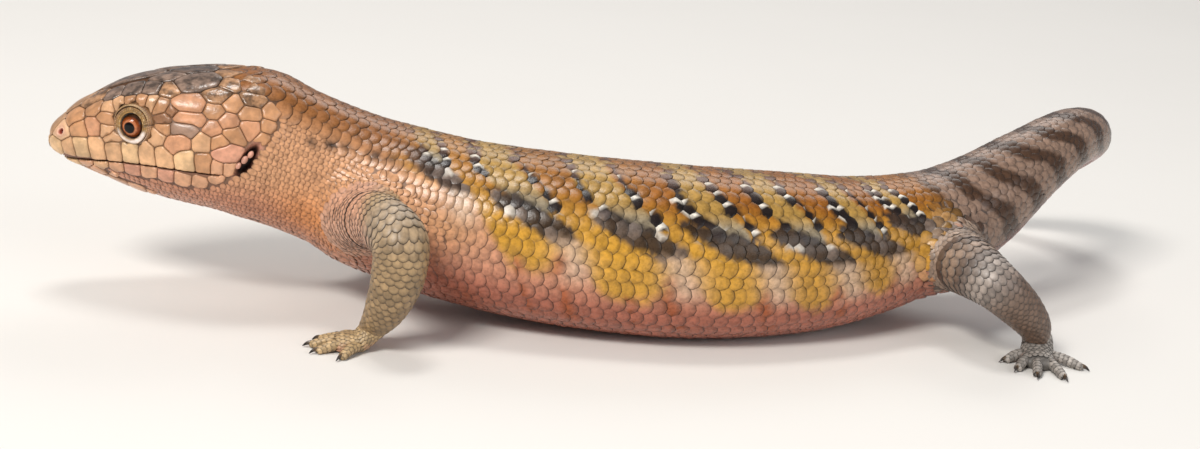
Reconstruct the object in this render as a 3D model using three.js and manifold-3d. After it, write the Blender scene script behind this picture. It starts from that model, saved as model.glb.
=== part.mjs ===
// A young blue tongued skink at life size, at rest on its belly with the head raised
// and the tail lifted and curled round behind it.
//
// Millimetres, +Z up. The floor is z = 0. The head points to -X, and the animal's
// left side faces -Y. The spine is a smooth curve through named stations. At each
// station the body has a half width, a rise above the spine and a drop below it.

import * as THREE from "three";
import { LoftGeometry } from "three/addons/geometries/LoftGeometry.js";
import { mergeVertices } from "three/addons/utils/BufferGeometryUtils.js";
import Module from "manifold-3d";

const wasm = await Module();
wasm.setup();

// Clearance kept between pieces that touch.
const GAP = 0.3;

// Detail thinner than this is merged into the surface round it.
const SLIVER = 0.006;

// Stations of the body, from snout to tail tip. crown squares off the upper half of
// the section: 2 is an ellipse and more is boxier. keel does so for the lower half.
const STATIONS = [
  { at: "snout", x: -103.8, y: -4.3, z: 28.3, half: 0.9, rise: 0.7, drop: 0.8, crown: 2.0, keel: 2.0 },
  { at: "rostral", x: -102.9, y: -4.3, z: 28.4, half: 3.1, rise: 2.2, drop: 2.4, crown: 2.1, keel: 2.1 },
  { at: "nostril", x: -101.2, y: -4.2, z: 28.8, half: 4.7, rise: 3.9, drop: 3.7, crown: 2.3, keel: 2.2 },
  { at: "lore", x: -98.4, y: -4.0, z: 29.2, half: 6.3, rise: 6.0, drop: 5.4, crown: 2.4, keel: 2.2 },
  { at: "brow front", x: -94.6, y: -3.7, z: 29.8, half: 7.9, rise: 7.8, drop: 7.3, crown: 2.5, keel: 2.2 },
  { at: "eye", x: -89.1, y: -3.2, z: 30.4, half: 9.7, rise: 10.4, drop: 9.9, crown: 2.7, keel: 2.2 },
  { at: "temple", x: -83.4, y: -2.6, z: 30.6, half: 11.5, rise: 12.0, drop: 11.6, crown: 2.7, keel: 2.2 },
  { at: "jaw", x: -77.6, y: -2.0, z: 30.6, half: 13.1, rise: 12.9, drop: 12.6, crown: 2.6, keel: 2.2 },
  { at: "jowl", x: -71.4, y: -1.2, z: 30.2, half: 13.9, rise: 14.0, drop: 13.2, crown: 2.4, keel: 2.2 },
  { at: "ear", x: -65.4, y: -0.6, z: 29.2, half: 13.5, rise: 14.8, drop: 13.8, crown: 2.3, keel: 2.2 },
  { at: "nape", x: -58.6, y: 0.0, z: 27.2, half: 12.6, rise: 13.8, drop: 13.7, crown: 2.2, keel: 2.2 },
  { at: "neck", x: -50.0, y: 0.2, z: 24.2, half: 12.7, rise: 13.9, drop: 13.6, crown: 2.2, keel: 2.2 },
  { at: "shoulder", x: -40.0, y: 0.2, z: 21.0, half: 14.6, rise: 14.8, drop: 14.8, crown: 2.2, keel: 2.2 },
  { at: "chest", x: -26.0, y: 0.0, z: 18.2, half: 16.7, rise: 15.3, drop: 15.5, crown: 2.2, keel: 2.3 },
  { at: "belly front", x: -6.0, y: 0.1, z: 16.4, half: 18.1, rise: 15.9, drop: 16.0, crown: 2.2, keel: 2.5 },
  { at: "belly", x: 16.0, y: 2.2, z: 15.3, half: 18.5, rise: 16.2, drop: 16.0, crown: 2.2, keel: 2.5 },
  { at: "belly rear", x: 36.0, y: 8.4, z: 14.8, half: 17.2, rise: 15.5, drop: 15.2, crown: 2.2, keel: 2.5 },
  { at: "loin", x: 49.7, y: 14.6, z: 15.0, half: 15.2, rise: 14.1, drop: 13.6, crown: 2.2, keel: 2.4 },
  { at: "hip", x: 60.0, y: 19.8, z: 16.2, half: 13.2, rise: 13.0, drop: 12.0, crown: 2.2, keel: 2.3 },
  { at: "vent", x: 69.0, y: 25.0, z: 18.6, half: 11.4, rise: 11.6, drop: 10.6, crown: 2.2, keel: 2.2 },
  { at: "tail root", x: 77.4, y: 30.6, z: 22.4, half: 10.1, rise: 10.4, drop: 9.8, crown: 2.1, keel: 2.1 },
  { at: "tail rise", x: 86.9, y: 38.5, z: 27.8, half: 8.2, rise: 8.6, drop: 7.6, crown: 2.1, keel: 2.1 },
  { at: "tail crest", x: 97.0, y: 49.5, z: 31.8, half: 6.9, rise: 7.1, drop: 6.4, crown: 2.0, keel: 2.0 },
  { at: "tail bend", x: 104.2, y: 61.5, z: 30.6, half: 5.9, rise: 6.0, drop: 5.7, crown: 2.0, keel: 2.0 },
  { at: "tail fall", x: 103.6, y: 74.0, z: 23.4, half: 5.1, rise: 5.0, drop: 5.0, crown: 2.0, keel: 2.0 },
  { at: "tail turn", x: 96.0, y: 83.0, z: 14.0, half: 3.9, rise: 3.8, drop: 3.8, crown: 2.0, keel: 2.0 },
  { at: "tail low", x: 85.0, y: 87.0, z: 6.4, half: 2.8, rise: 2.7, drop: 2.7, crown: 2.0, keel: 2.0 },
  { at: "tail laid", x: 75.0, y: 88.0, z: 2.0, half: 1.9, rise: 1.8, drop: 2.1, crown: 2.0, keel: 2.0 },
  { at: "tail tip", x: 66.5, y: 87.5, z: 0.7, half: 0.6, rise: 0.6, drop: 0.8, crown: 2.0, keel: 2.0 },
];

// Lengths of the body, each from one place on the spine to the next. A place is a
// station's name and a share of the way on to the station after it.
const LENGTHS = [
  { name: "head", to: ["ear", 0.55], steps: 28, sides: 36, color: 0xa98560 },
  { name: "neck", to: ["neck", 0.2], steps: 5, sides: 32, color: 0xb58a5e },
  { name: "torso_front", to: ["chest", 0.4], steps: 9, sides: 32, color: 0xb98d4a },
  { name: "torso_middle", to: ["belly", 0.3], steps: 9, sides: 32, color: 0xbd8f3c },
  { name: "torso_rear", to: ["loin", 0.2], steps: 8, sides: 32, color: 0xb98a3a },
  { name: "pelvis", to: ["vent", 0.6], steps: 7, sides: 32, color: 0xa57f48 },
  { name: "tail_base", to: ["tail rise", 0.5], steps: 6, sides: 24, color: 0x9d8064 },
  { name: "tail_middle", to: ["tail bend", 0.5], steps: 7, sides: 20, color: 0x8f7660 },
  { name: "tail_bend", to: ["tail turn", 0.5], steps: 7, sides: 18, color: 0x85705f },
  { name: "tail_tip", to: ["tail tip", 0], steps: 7, sides: 14, color: 0x7d6a5b },
];

// Soft forms of the head, as swellings or hollows on the section. along is the
// distance from the snout, angle is from the crown down the side, in degrees.
const HEAD_FORMS = [
  { at: "canthus", along: 9.5, angle: 53, length: 5.0, spread: 13, height: 0.45 },
  { at: "lore hollow", along: 9.5, angle: 82, length: 4.0, spread: 13, height: -0.45 },
  { at: "brow", along: 17.0, angle: 48, length: 5.0, spread: 12, height: 0.75 },
  { at: "eye hollow", along: 17.5, angle: 78, length: 4.5, spread: 20, height: -0.5 },
  { at: "temple fold", along: 26.5, angle: 66, length: 4.5, spread: 8, height: -0.4 },
  { at: "jaw muscle", along: 31.0, angle: 118, length: 6.0, spread: 22, height: 0.5 },
  { at: "cheek", along: 24.0, angle: 100, length: 6.0, spread: 14, height: 0.3 },
];

// Mouth: a groove round the snout at a set depth under the spine, from corner to corner,
// as high and as sunk as given. A lip lies a little apart on each side of it, with its
// middle bedded under the skin.
const MOUTH = {
  depth: 3.3,
  height: 0.45,
  corner: 0.3,
  sink: 1.2,
  end: ["jowl", 0.05],
  lip: 0.7,
  taper: 0.05,
  apart: 0.95,
  bed: 0.4,
};

// Eye: where its middle lies on the skin, the ball's radius, the lids round it, thicker
// along the head than up it, and the half length and half height of their opening. The
// opening runs through the lids from an inner distance to an outer one, and widens.
const EYE = {
  along: 16.9,
  angle: 75,
  ball: 3.1,
  sunk: 2.8,
  lid: 0.55,
  longer: 1.25,
  taller: 1.12,
  openLong: 2.75,
  openHigh: 2.1,
  inner: { out: 0.5, scale: 0.9 },
  outer: { out: 6, scale: 1.12 },
};

const NOSTRIL = { along: 3.4, angle: 66, radius: 0.75, longer: 1.3, sunk: 0.1 };

// Ear: an upright slit that leans forward at its foot. Small lobes, flatter and taller
// than round, lie along its front rim over a share of its height, bedded in the flesh.
const EAR = {
  along: 38.0,
  angle: 87,
  sunk: 0,
  width: 1.0,
  height: 3.4,
  depth: 2.4,
  lean: 24,
  lobe: 0.95,
  lobes: 3,
  flat: 0.6,
  tall: 1.3,
  rim: 0.62,
  bed: 0.36,
};

// Fore limbs, left one. Radii run from the shoulder to the wrist.
const ARM = {
  name: "foreleg",
  from: ["shoulder", -0.4],
  path: [
    [2.0, 5.0, 17.5],
    [-1.0, 14.5, 21.0],
    [-6.0, 22.5, 23.0],
    [-9.6, 27.0, 21.0],
    [-9.6, 27.8, 15.0],
    [-7.6, 26.6, 8.6],
    [-5.4, 25.0, 4.4],
  ],
  radii: [6.0, 5.6, 5.2, 5.3, 4.9, 3.9, 2.7],
  joint: 0.52,
  upper: 0x9c7d5a,
  lower: 0x8c7355,
  foot: {
    heading: 10,
    palm: { length: 5.2, wide: 3.1, high: 1.9 },
    toes: [
      { turn: 44, length: 4.4, base: -0.4 },
      { turn: 20, length: 6.0, base: 0.4 },
      { turn: 1, length: 6.8, base: 0.8 },
      { turn: -19, length: 6.4, base: 0.5 },
      { turn: -50, length: 4.8, base: -0.6 },
    ],
  },
};

// Hind limbs, left one.
const LEG = {
  name: "hindleg",
  from: ["hip", 0.6],
  path: [
    [1.0, 4.0, 15.5],
    [2.6, 13.0, 16.0],
    [4.6, 21.5, 16.4],
    [3.4, 27.0, 14.8],
    [-1.6, 28.6, 10.6],
    [-5.6, 28.8, 6.6],
    [-7.0, 28.6, 3.9],
  ],
  radii: [7.2, 6.6, 5.7, 4.9, 4.2, 3.4, 2.7],
  joint: 0.5,
  upper: 0x8f7558,
  lower: 0x7f6a54,
  foot: {
    heading: 57,
    palm: { length: 5.6, wide: 3.2, high: 1.9 },
    toes: [
      { turn: 58, length: 4.6, base: -0.8 },
      { turn: 30, length: 6.2, base: 0.3 },
      { turn: 6, length: 7.2, base: 0.8 },
      { turn: -22, length: 7.8, base: 0.5 },
      { turn: -66, length: 6.4, base: -1.0 },
    ],
  },
};

// How far each limb of the right side is set ahead of its fellow on the left.
const STRIDE = { foreleg: 3.0, hindleg: 4.0 };

// Palm: its path starts a little up the wrist, and comes down to the floor as given by
// shares of its length and heights. It grows from the wrist's radius to its own over a
// share of the way, and rounds off at the end.
const PALM = {
  start: -1.3,
  heel: 0.8,
  middle: { reach: 0.45, height: 1.7 },
  end: { reach: 1, height: 1.1 },
  grow: 0.65,
  round: 0.9,
  endWide: 0.8,
  endHigh: 0.7,
  sides: 12,
  steps: 6,
};

// Toes: each starts under the palm, bows up by the lift and comes down to its tip. The
// knuckles are spread across the palm.
const TOE = {
  root: 1.15,
  tip: 0.85,
  round: 0.75,
  start: -1.2,
  height: 1.0,
  lift: 0.45,
  low: 0.6,
  spread: 2.3,
  set: 0.55,
  sides: 6,
  steps: 5,
};
const CLAW = { length: 2.1, root: 0.5, tip: 0.12, high: 0.75, arch: 0.1, droop: 0.35, sides: 5, steps: 2 };
const LIMB_SIDES = 14;
const LIMB_STEPS = 12;

const COLORS = { eye: 0x2a160c, claw: 0x3b2d24, foot: 0x8a7763 };

const Z = new THREE.Vector3(0, 0, 1);
const FIELDS = ["x", "y", "z", "half", "rise", "drop", "crown", "keel"];
const LAST = STATIONS.length - 1;

const model = new THREE.Group();

function place([name, share]) {
  return STATIONS.findIndex((station) => station.at === name) + share;
}

// One value of the body at a place t, by a Catmull-Rom curve through the stations.
function value(field, t) {
  const i = Math.min(Math.floor(t), LAST - 1);
  const f = t - i;
  const b = STATIONS[i][field];
  const c = STATIONS[i + 1][field];
  const a = i > 0 ? STATIONS[i - 1][field] : 2 * b - c;
  const d = i + 2 <= LAST ? STATIONS[i + 2][field] : 2 * c - b;
  const linear = (c - a) * f;
  const square = (2 * a - 5 * b + 4 * c - d) * f * f;
  const cube = (3 * b - 3 * c + d - a) * f * f * f;
  return 0.5 * (2 * b + linear + square + cube);
}

function spine(t) {
  return new THREE.Vector3(value("x", t), value("y", t), value("z", t));
}

// The spine's direction at t, with the animal's left and the way up square to it.
function frameAt(t) {
  const step = 0.001;
  const ahead = spine(Math.min(t + step, LAST));
  const along = ahead.sub(spine(Math.max(t - step, 0))).normalize();
  const left = new THREE.Vector3().crossVectors(along, Z).normalize();
  const up = new THREE.Vector3().crossVectors(left, along).normalize();
  return { along, left, up };
}

// Distance along the spine from the snout, as a table that is read both ways.
const RULER = [0];
const RULER_STEPS = 20;
for (let i = 1; i <= LAST * RULER_STEPS; i++) {
  const step = spine(i / RULER_STEPS).distanceTo(spine((i - 1) / RULER_STEPS));
  RULER.push(RULER[i - 1] + step);
}

function distanceAt(t) {
  const k = Math.min(Math.floor(t * RULER_STEPS), RULER.length - 2);
  return THREE.MathUtils.lerp(RULER[k], RULER[k + 1], t * RULER_STEPS - k);
}

function placeAt(distance) {
  const k = Math.max(1, RULER.findIndex((length) => length > distance));
  const share = (distance - RULER[k - 1]) / (RULER[k] - RULER[k - 1]);
  return (k - 1 + share) / RULER_STEPS;
}

// Height of the head's soft forms at a place, in mm, the same on both sides.
function headForm(t, angle) {
  const along = distanceAt(t);
  const degrees = Math.abs(THREE.MathUtils.radToDeg(angle));
  let height = 0;
  for (const form of HEAD_FORMS) {
    const u = (along - form.along) / form.length;
    const v = (degrees - form.angle) / form.spread;
    height += form.height * Math.exp(-u * u - v * v);
  }
  return height;
}

// A point of the skin. angle runs from the crown, 0, over the left side to the belly.
function skin(t, angle, grow = 0) {
  const { left, up } = frameAt(t);
  const top = Math.cos(angle) > 0;
  const power = 2 / value(top ? "crown" : "keel", t);
  const reach = grow + headForm(t, angle);
  const wide = value("half", t) + reach;
  const high = value(top ? "rise" : "drop", t) + reach;
  const s = Math.sin(angle);
  const c = Math.cos(angle);
  return spine(t)
    .addScaledVector(left, wide * Math.sign(s) * Math.abs(s) ** power)
    .addScaledVector(up, high * Math.sign(c) * Math.abs(c) ** power);
}

// Outward direction of the skin at a point.
function outward(t, angle) {
  const step = 0.01;
  const round = skin(t, angle + step).sub(skin(t, angle - step));
  const along = skin(t + step, angle).sub(skin(t - step, angle));
  return round.cross(along).normalize();
}

function loft(sections) {
  return new LoftGeometry(sections, { closed: true, capStart: true, capEnd: true });
}

// A length of the body as a closed loft. grow swells it all round.
function bodyLoft(from, to, steps, sides, grow = 0) {
  const sections = [];
  for (let i = 0; i <= steps; i++) {
    const t = THREE.MathUtils.lerp(from, to, i / steps);
    const ring = [];
    for (let k = 0; k < sides; k++) {
      let angle = (2 * Math.PI * k) / sides;
      angle = angle > Math.PI ? angle - 2 * Math.PI : angle;
      ring.push(skin(t, angle, grow));
    }
    sections.push(ring);
  }
  return loft(sections);
}

// A tube through points, with an oval section. guide is a direction that the path
// never runs along, and fixes which way the oval's height lies.
function tube(points, wide, high, sides, steps, guide, from = 0, to = 1) {
  const curve = new THREE.CatmullRomCurve3(points);
  const sections = [];
  for (let i = 0; i <= steps; i++) {
    const u = THREE.MathUtils.lerp(from, to, i / steps);
    const centre = curve.getPoint(u);
    const along = curve.getTangent(u);
    const side = new THREE.Vector3().crossVectors(guide, along).normalize();
    const up = new THREE.Vector3().crossVectors(along, side);
    const ring = [];
    for (let k = 0; k < sides; k++) {
      const angle = (2 * Math.PI * k) / sides;
      const point = centre.clone();
      point.addScaledVector(side, wide(u) * Math.cos(angle));
      point.addScaledVector(up, high(u) * Math.sin(angle));
      ring.push(point);
    }
    sections.push(ring);
  }
  return loft(sections);
}

// A ball stretched along three directions that are square to one another.
function ball(centre, directions, radii, wide = 20, high = 12) {
  const geometry = new THREE.SphereGeometry(1, wide, high);
  const basis = new THREE.Matrix4().makeBasis(...directions);
  geometry.scale(...radii);
  geometry.applyMatrix4(basis);
  geometry.translate(centre.x, centre.y, centre.z);
  return geometry;
}

function solid(geometry) {
  const bare = new THREE.BufferGeometry();
  bare.setAttribute("position", geometry.attributes.position);
  bare.setIndex(geometry.index);
  const merged = mergeVertices(bare, 1e-4);
  const vertProperties = new Float32Array(merged.attributes.position.array);
  const triVerts = new Uint32Array(merged.index.array);
  return new wasm.Manifold(new wasm.Mesh({ numProp: 3, vertProperties, triVerts }));
}

// The largest closed surface of a solid, as a geometry, less the slivers that cuts leave.
function shape(body) {
  const pieces = body.decompose();
  pieces.sort((a, b) => b.volume() - a.volume());
  const mesh = pieces[0].asOriginal().simplify(SLIVER).getMesh();
  const geometry = new THREE.BufferGeometry();
  const positions = new Float32Array(mesh.vertProperties);
  geometry.setAttribute("position", new THREE.BufferAttribute(positions, 3));
  geometry.setIndex(new THREE.BufferAttribute(new Uint32Array(mesh.triVerts), 1));
  geometry.computeVertexNormals();
  return geometry;
}

function addNode(name, geometry, color, roughness = 0.55) {
  const material = new THREE.MeshStandardMaterial({ color, roughness, metalness: 0 });
  const mesh = new THREE.Mesh(geometry, material);
  mesh.name = name;
  model.add(mesh);
}

// All below the floor, taken off what rests on it to leave a small flat.
function floored(body) {
  return body.trimByPlane([0, 0, 1], 0);
}

// Angle at which the skin lies at a depth under the spine, on the left side.
function angleAtDepth(t, depth) {
  const share = Math.min(1, depth / value("drop", t));
  return Math.acos(-(share ** (value("keel", t) / 2)));
}

// The place nearest the snout where the head is as deep as the mouth line.
function chinPlace(depth) {
  let t = 0;
  while (value("drop", t) < depth) {
    t += 0.01;
  }
  return t;
}

// Line round the head just under the skin, at a depth under the spine, from the left
// corner of the mouth past the chin to the right one.
function mouthLine(depth) {
  const points = [];
  const start = chinPlace(depth);
  const end = place(MOUTH.end);
  const count = 14;
  for (let i = -count; i <= count; i++) {
    const t = start + (end - start) * Math.abs(i / count) ** 1.6;
    const angle = angleAtDepth(t, depth) * (i <= 0 ? 1 : -1);
    points.push(skin(t, angle).addScaledVector(outward(t, angle), -MOUTH.bed));
  }
  return points;
}

// Groove of the mouth: a thin sheet at the mouth's depth that starts ahead of the snout
// and stands out on both sides, less the inside of the head.
function mouthGroove() {
  const sections = [];
  const end = place(MOUTH.end);
  const ahead = 8;
  const wide = 20;
  const steps = 10;
  for (let i = -1; i <= steps; i++) {
    const t = Math.max(0, (end * i) / steps);
    const { left, up, along } = frameAt(t);
    const centre = spine(t).addScaledVector(up, -MOUTH.depth);
    centre.addScaledVector(along, i < 0 ? -ahead : 0);
    const half = (MOUTH.height / 2) * (i < steps ? 1 : MOUTH.corner);
    sections.push([
      centre.clone().addScaledVector(left, -wide).addScaledVector(up, half),
      centre.clone().addScaledVector(left, wide).addScaledVector(up, half),
      centre.clone().addScaledVector(left, wide).addScaledVector(up, -half),
      centre.clone().addScaledVector(left, -wide).addScaledVector(up, -half),
    ]);
  }
  const sheet = solid(loft(sections));
  const inside = solid(bodyLoft(chinPlace(2 * MOUTH.sink), end + 1, 14, 24, -MOUTH.sink));
  return sheet.subtract(inside);
}

// A lip: a soft bead that lies along the mouth, most of it in the flesh, and thins
// towards the corners.
function lip(depth) {
  const points = mouthLine(depth);
  const { taper } = MOUTH;
  const bead = (u) => {
    const share = THREE.MathUtils.clamp(u, taper, 1 - taper);
    return MOUTH.lip * Math.sin(Math.PI * share) ** 0.3;
  };
  return solid(tube(points, bead, bead, 6, 30, Z));
}

// Three directions square to one another at a named place on the head's skin: along the
// head, out of the skin, and up. sunk is how far its centre lies under the skin.
function skinFrame(named, side) {
  const t = placeAt(named.along);
  const angle = side * THREE.MathUtils.degToRad(named.angle);
  const axis = outward(t, angle);
  const along = new THREE.Vector3().crossVectors(axis, Z).normalize();
  const up = new THREE.Vector3().crossVectors(along, axis).normalize();
  const centre = skin(t, angle).addScaledVector(axis, -named.sunk);
  return { centre, axis, along, up };
}

// Opening between the lids, an almond along the head, from inside the ball outwards.
function lidOpening({ centre, axis, along, up }) {
  const sections = [];
  const sides = 16;
  for (const { out, scale } of [EYE.inner, EYE.outer]) {
    const ring = [];
    for (let k = 0; k < sides; k++) {
      const angle = (-2 * Math.PI * k) / sides;
      const s = Math.sin(angle);
      const c = Math.cos(angle);
      const point = centre.clone().addScaledVector(axis, out);
      point.addScaledVector(along, scale * EYE.openLong * c);
      point.addScaledVector(up, scale * EYE.openHigh * Math.sign(s) * Math.abs(s) ** 1.3);
      ring.push(point);
    }
    sections.push(ring);
  }
  return solid(loft(sections));
}

function buildHead(from, to) {
  const span = LENGTHS[0];
  let head = solid(bodyLoft(from, to, span.steps, span.sides));
  head = head.add(lip(MOUTH.depth - MOUTH.apart));
  head = head.add(lip(MOUTH.depth + MOUTH.apart));
  head = head.subtract(mouthGroove());
  for (const side of [1, -1]) {
    const eye = skinFrame(EYE, side);
    const basis = [eye.along, eye.axis, eye.up];
    const lids = EYE.ball + GAP + EYE.lid;
    const socket = EYE.ball + GAP;
    head = head.add(solid(ball(eye.centre, basis, [lids * EYE.longer, lids, lids * EYE.taller])));
    head = head.subtract(solid(ball(eye.centre, basis, [socket, socket, socket], 18, 10)));
    head = head.subtract(lidOpening(eye));
    head = head.subtract(nostril(side));
    head = earLobes(head.subtract(earCup(side)), side);
  }
  addNode(span.name, shape(head), span.color);
}

function nostril(side) {
  const { centre, axis, along, up } = skinFrame(NOSTRIL, side);
  const radius = NOSTRIL.radius;
  return solid(ball(centre, [along, axis, up], [radius * NOSTRIL.longer, radius, radius], 8, 6));
}

// The ear's place, with its upright turned forward at the foot.
function earFrame(side) {
  const ear = skinFrame(EAR, side);
  const lean = THREE.MathUtils.degToRad(EAR.lean) * side;
  ear.up.applyAxisAngle(ear.axis, -lean);
  ear.along.applyAxisAngle(ear.axis, -lean);
  return ear;
}

function earCup(side) {
  const { centre, axis, along, up } = earFrame(side);
  return solid(ball(centre, [along, axis, up], [EAR.width, EAR.depth, EAR.height], 10, 10));
}

// Lobes in a row on the ear's front rim, each mostly in the flesh.
function earLobes(head, side) {
  const { centre, axis, along, up } = earFrame(side);
  const radii = [EAR.lobe, EAR.lobe * EAR.flat, EAR.lobe * EAR.tall];
  let result = head;
  for (let k = 0; k < EAR.lobes; k++) {
    const height = EAR.height * EAR.rim * (1 - (2 * k) / (EAR.lobes - 1));
    const point = centre.clone().addScaledVector(up, height);
    point.addScaledVector(along, side * EAR.width * 1.25);
    point.addScaledVector(axis, -EAR.lobe * EAR.bed);
    result = result.add(solid(ball(point, [along, axis, up], radii, 10, 10)));
  }
  return result;
}

function buildBody() {
  let from = 0;
  for (const [index, span] of LENGTHS.entries()) {
    const cut = place(span.to);
    const last = index === LENGTHS.length - 1;
    const to = last ? cut : placeAt(distanceAt(cut) - GAP / 2);
    if (index === 0) {
      buildHead(from, to);
    } else {
      const length = solid(bodyLoft(from, to, span.steps, span.sides));
      addNode(span.name, shape(floored(length)), span.color);
    }
    from = placeAt(distanceAt(cut) + GAP / 2);
  }
}

function buildEyes() {
  for (const [name, side] of [["eye_left", 1], ["eye_right", -1]]) {
    const { centre, axis, along, up } = skinFrame(EYE, side);
    const radii = [EYE.ball, EYE.ball, EYE.ball];
    addNode(name, shape(solid(ball(centre, [along, axis, up], radii, 16, 10))), COLORS.eye, 0.1);
  }
}

// Level axes at a place on the spine: forward to the head, out to one side, and up.
function levelFrame(where, side) {
  const t = place(where);
  const { along, left } = frameAt(t);
  const forward = along.clone().setZ(0).normalize().negate();
  const out = left.clone().setZ(0).normalize().multiplyScalar(side);
  return { origin: spine(t).setZ(0), forward, out };
}

function levelPoint({ origin, forward, out }, ahead, aside, height) {
  const point = origin.clone().addScaledVector(forward, ahead).addScaledVector(out, aside);
  return point.setZ(height);
}

// A limb's radius at a share of its length, between the radii named for it.
function limbRadius(limb, u) {
  const x = THREE.MathUtils.clamp(u, 0, 1) * (limb.radii.length - 1);
  const i = Math.min(Math.floor(x), limb.radii.length - 2);
  return THREE.MathUtils.lerp(limb.radii[i], limb.radii[i + 1], x - i);
}

function buildLimb(limb, label, side, body) {
  const level = levelFrame(limb.from, side);
  const stride = side < 0 ? STRIDE[limb.name] : 0;
  const points = limb.path.map(([ahead, aside, height], i) => {
    const share = i / (limb.path.length - 1);
    return levelPoint(level, ahead + stride * share, aside, height);
  });
  const radius = (u) => limbRadius(limb, u);
  const whole = solid(tube(points, radius, radius, LIMB_SIDES, LIMB_STEPS, level.forward));
  const curve = new THREE.CatmullRomCurve3(points);
  const along = curve.getTangent(limb.joint);
  const middle = along.dot(curve.getPoint(limb.joint));
  const upper = whole.trimByPlane(along.clone().negate().toArray(), GAP / 2 - middle).subtract(body);
  const lower = whole.trimByPlane(along.toArray(), GAP / 2 + middle);
  addNode(`${limb.name}_${label}_upper`, shape(upper), limb.upper);
  addNode(`${limb.name}_${label}_lower`, shape(lower), limb.lower);
  buildFoot(limb, label, level, points);
}

// A level direction turned from the way forward towards the outer side.
function turned({ forward, out }, degrees) {
  const angle = THREE.MathUtils.degToRad(degrees);
  const ahead = forward.clone().multiplyScalar(Math.cos(angle));
  return ahead.addScaledVector(out, Math.sin(angle));
}

function palmSolid(limb, level, points) {
  const { palm, heading } = limb.foot;
  const wrist = points[points.length - 1];
  const front = turned(level, heading);
  const heel = wrist.clone().sub(points[points.length - 2]).normalize();
  const onPalm = ({ reach, height }) =>
    wrist.clone().addScaledVector(front, reach * palm.length).setZ(height);
  const path = [
    wrist.clone().addScaledVector(heel, PALM.start),
    wrist.clone().addScaledVector(heel, PALM.heel),
    onPalm(PALM.middle),
    onPalm(PALM.end),
  ];
  const ankle = limbRadius(limb, 1);
  const size = (full, end) => (u) => {
    const share = Math.min(1, u / PALM.grow);
    return THREE.MathUtils.lerp(ankle, full, share) * (u > PALM.round ? end : 1);
  };
  const high = size(palm.high, PALM.endHigh);
  const wide = size(palm.wide, PALM.endWide);
  return solid(tube(path, high, wide, PALM.sides, PALM.steps, turned(level, heading + 90)));
}

// Points above the floor along one toe, at a reach from its knuckle and a height.
function alongToe(limb, toe, level, wrist) {
  const { palm, heading } = limb.foot;
  const way = turned(level, heading - toe.turn);
  const aside = Math.sin(THREE.MathUtils.degToRad(toe.turn)) * TOE.spread;
  const knuckle = wrist.clone().addScaledVector(turned(level, heading), palm.length * TOE.set + toe.base);
  knuckle.addScaledVector(turned(level, heading - 90), aside);
  return (reach, height) => knuckle.clone().addScaledVector(way, reach).setZ(height);
}

function toeSolid(toe, onToe) {
  const path = [
    onToe(TOE.start, TOE.height),
    onToe(toe.length * 0.3, TOE.height + TOE.lift),
    onToe(toe.length * 0.7, TOE.height + TOE.lift * 0.4),
    onToe(toe.length, TOE.low),
  ];
  const thick = (u) => THREE.MathUtils.lerp(TOE.root, TOE.tip, u) * (u > 0.95 ? TOE.round : 1);
  return solid(tube(path, thick, thick, TOE.sides, TOE.steps, Z));
}

function clawSolid(toe, onToe) {
  const path = [
    onToe(toe.length + GAP, CLAW.high),
    onToe(toe.length + CLAW.length * 0.55, CLAW.high + CLAW.arch),
    onToe(toe.length + CLAW.length, CLAW.droop),
  ];
  const thick = (u) => THREE.MathUtils.lerp(CLAW.root, CLAW.tip, u);
  return solid(tube(path, thick, thick, CLAW.sides, CLAW.steps, Z));
}

// A foot: a flat palm that starts just past the wrist and five toes fanned from it.
function buildFoot(limb, label, level, points) {
  let foot = palmSolid(limb, level, points);
  limb.foot.toes.forEach((toe, index) => {
    const onToe = alongToe(limb, toe, level, points[points.length - 1]);
    foot = foot.add(toeSolid(toe, onToe));
    const name = `claw_${limb.name}_${label}_${index + 1}`;
    addNode(name, shape(floored(clawSolid(toe, onToe))), COLORS.claw, 0.35);
  });
  const clear = (u) => limbRadius(limb, u) + GAP;
  const shin = solid(tube(points, clear, clear, LIMB_SIDES, LIMB_STEPS, level.forward));
  addNode(`${limb.name}_${label}_foot`, shape(floored(foot).subtract(shin)), COLORS.foot);
}

function buildLimbs() {
  const body = solid(bodyLoft(place(["nape", 0]), place(["tail root", 0.5]), 40, 32, GAP));
  for (const limb of [ARM, LEG]) {
    buildLimb(limb, "left", 1, body);
    buildLimb(limb, "right", -1, body);
  }
}

// The origin lies on the floor, under the middle of the animal's outline.
function centreOnFloor() {
  const middle = new THREE.Box3().setFromObject(model, true).getCenter(new THREE.Vector3());
  model.position.set(-middle.x, -middle.y, 0);
}

buildBody();
buildEyes();
buildLimbs();
centreOnFloor();

export default model;
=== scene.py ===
# A young blue tongued skink at life size, dressed over its solids: one skin with the
# mouth, ears and nostrils, shields on the head, overlapping scales on the rest, glossy
# eyes between granular lids, and dark horn claws.
#
# Lengths are in mm until a mesh is made. A place on the body is s, the distance from the
# snout along the spine, and an angle in degrees from the crown over the animal's left side.

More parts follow.
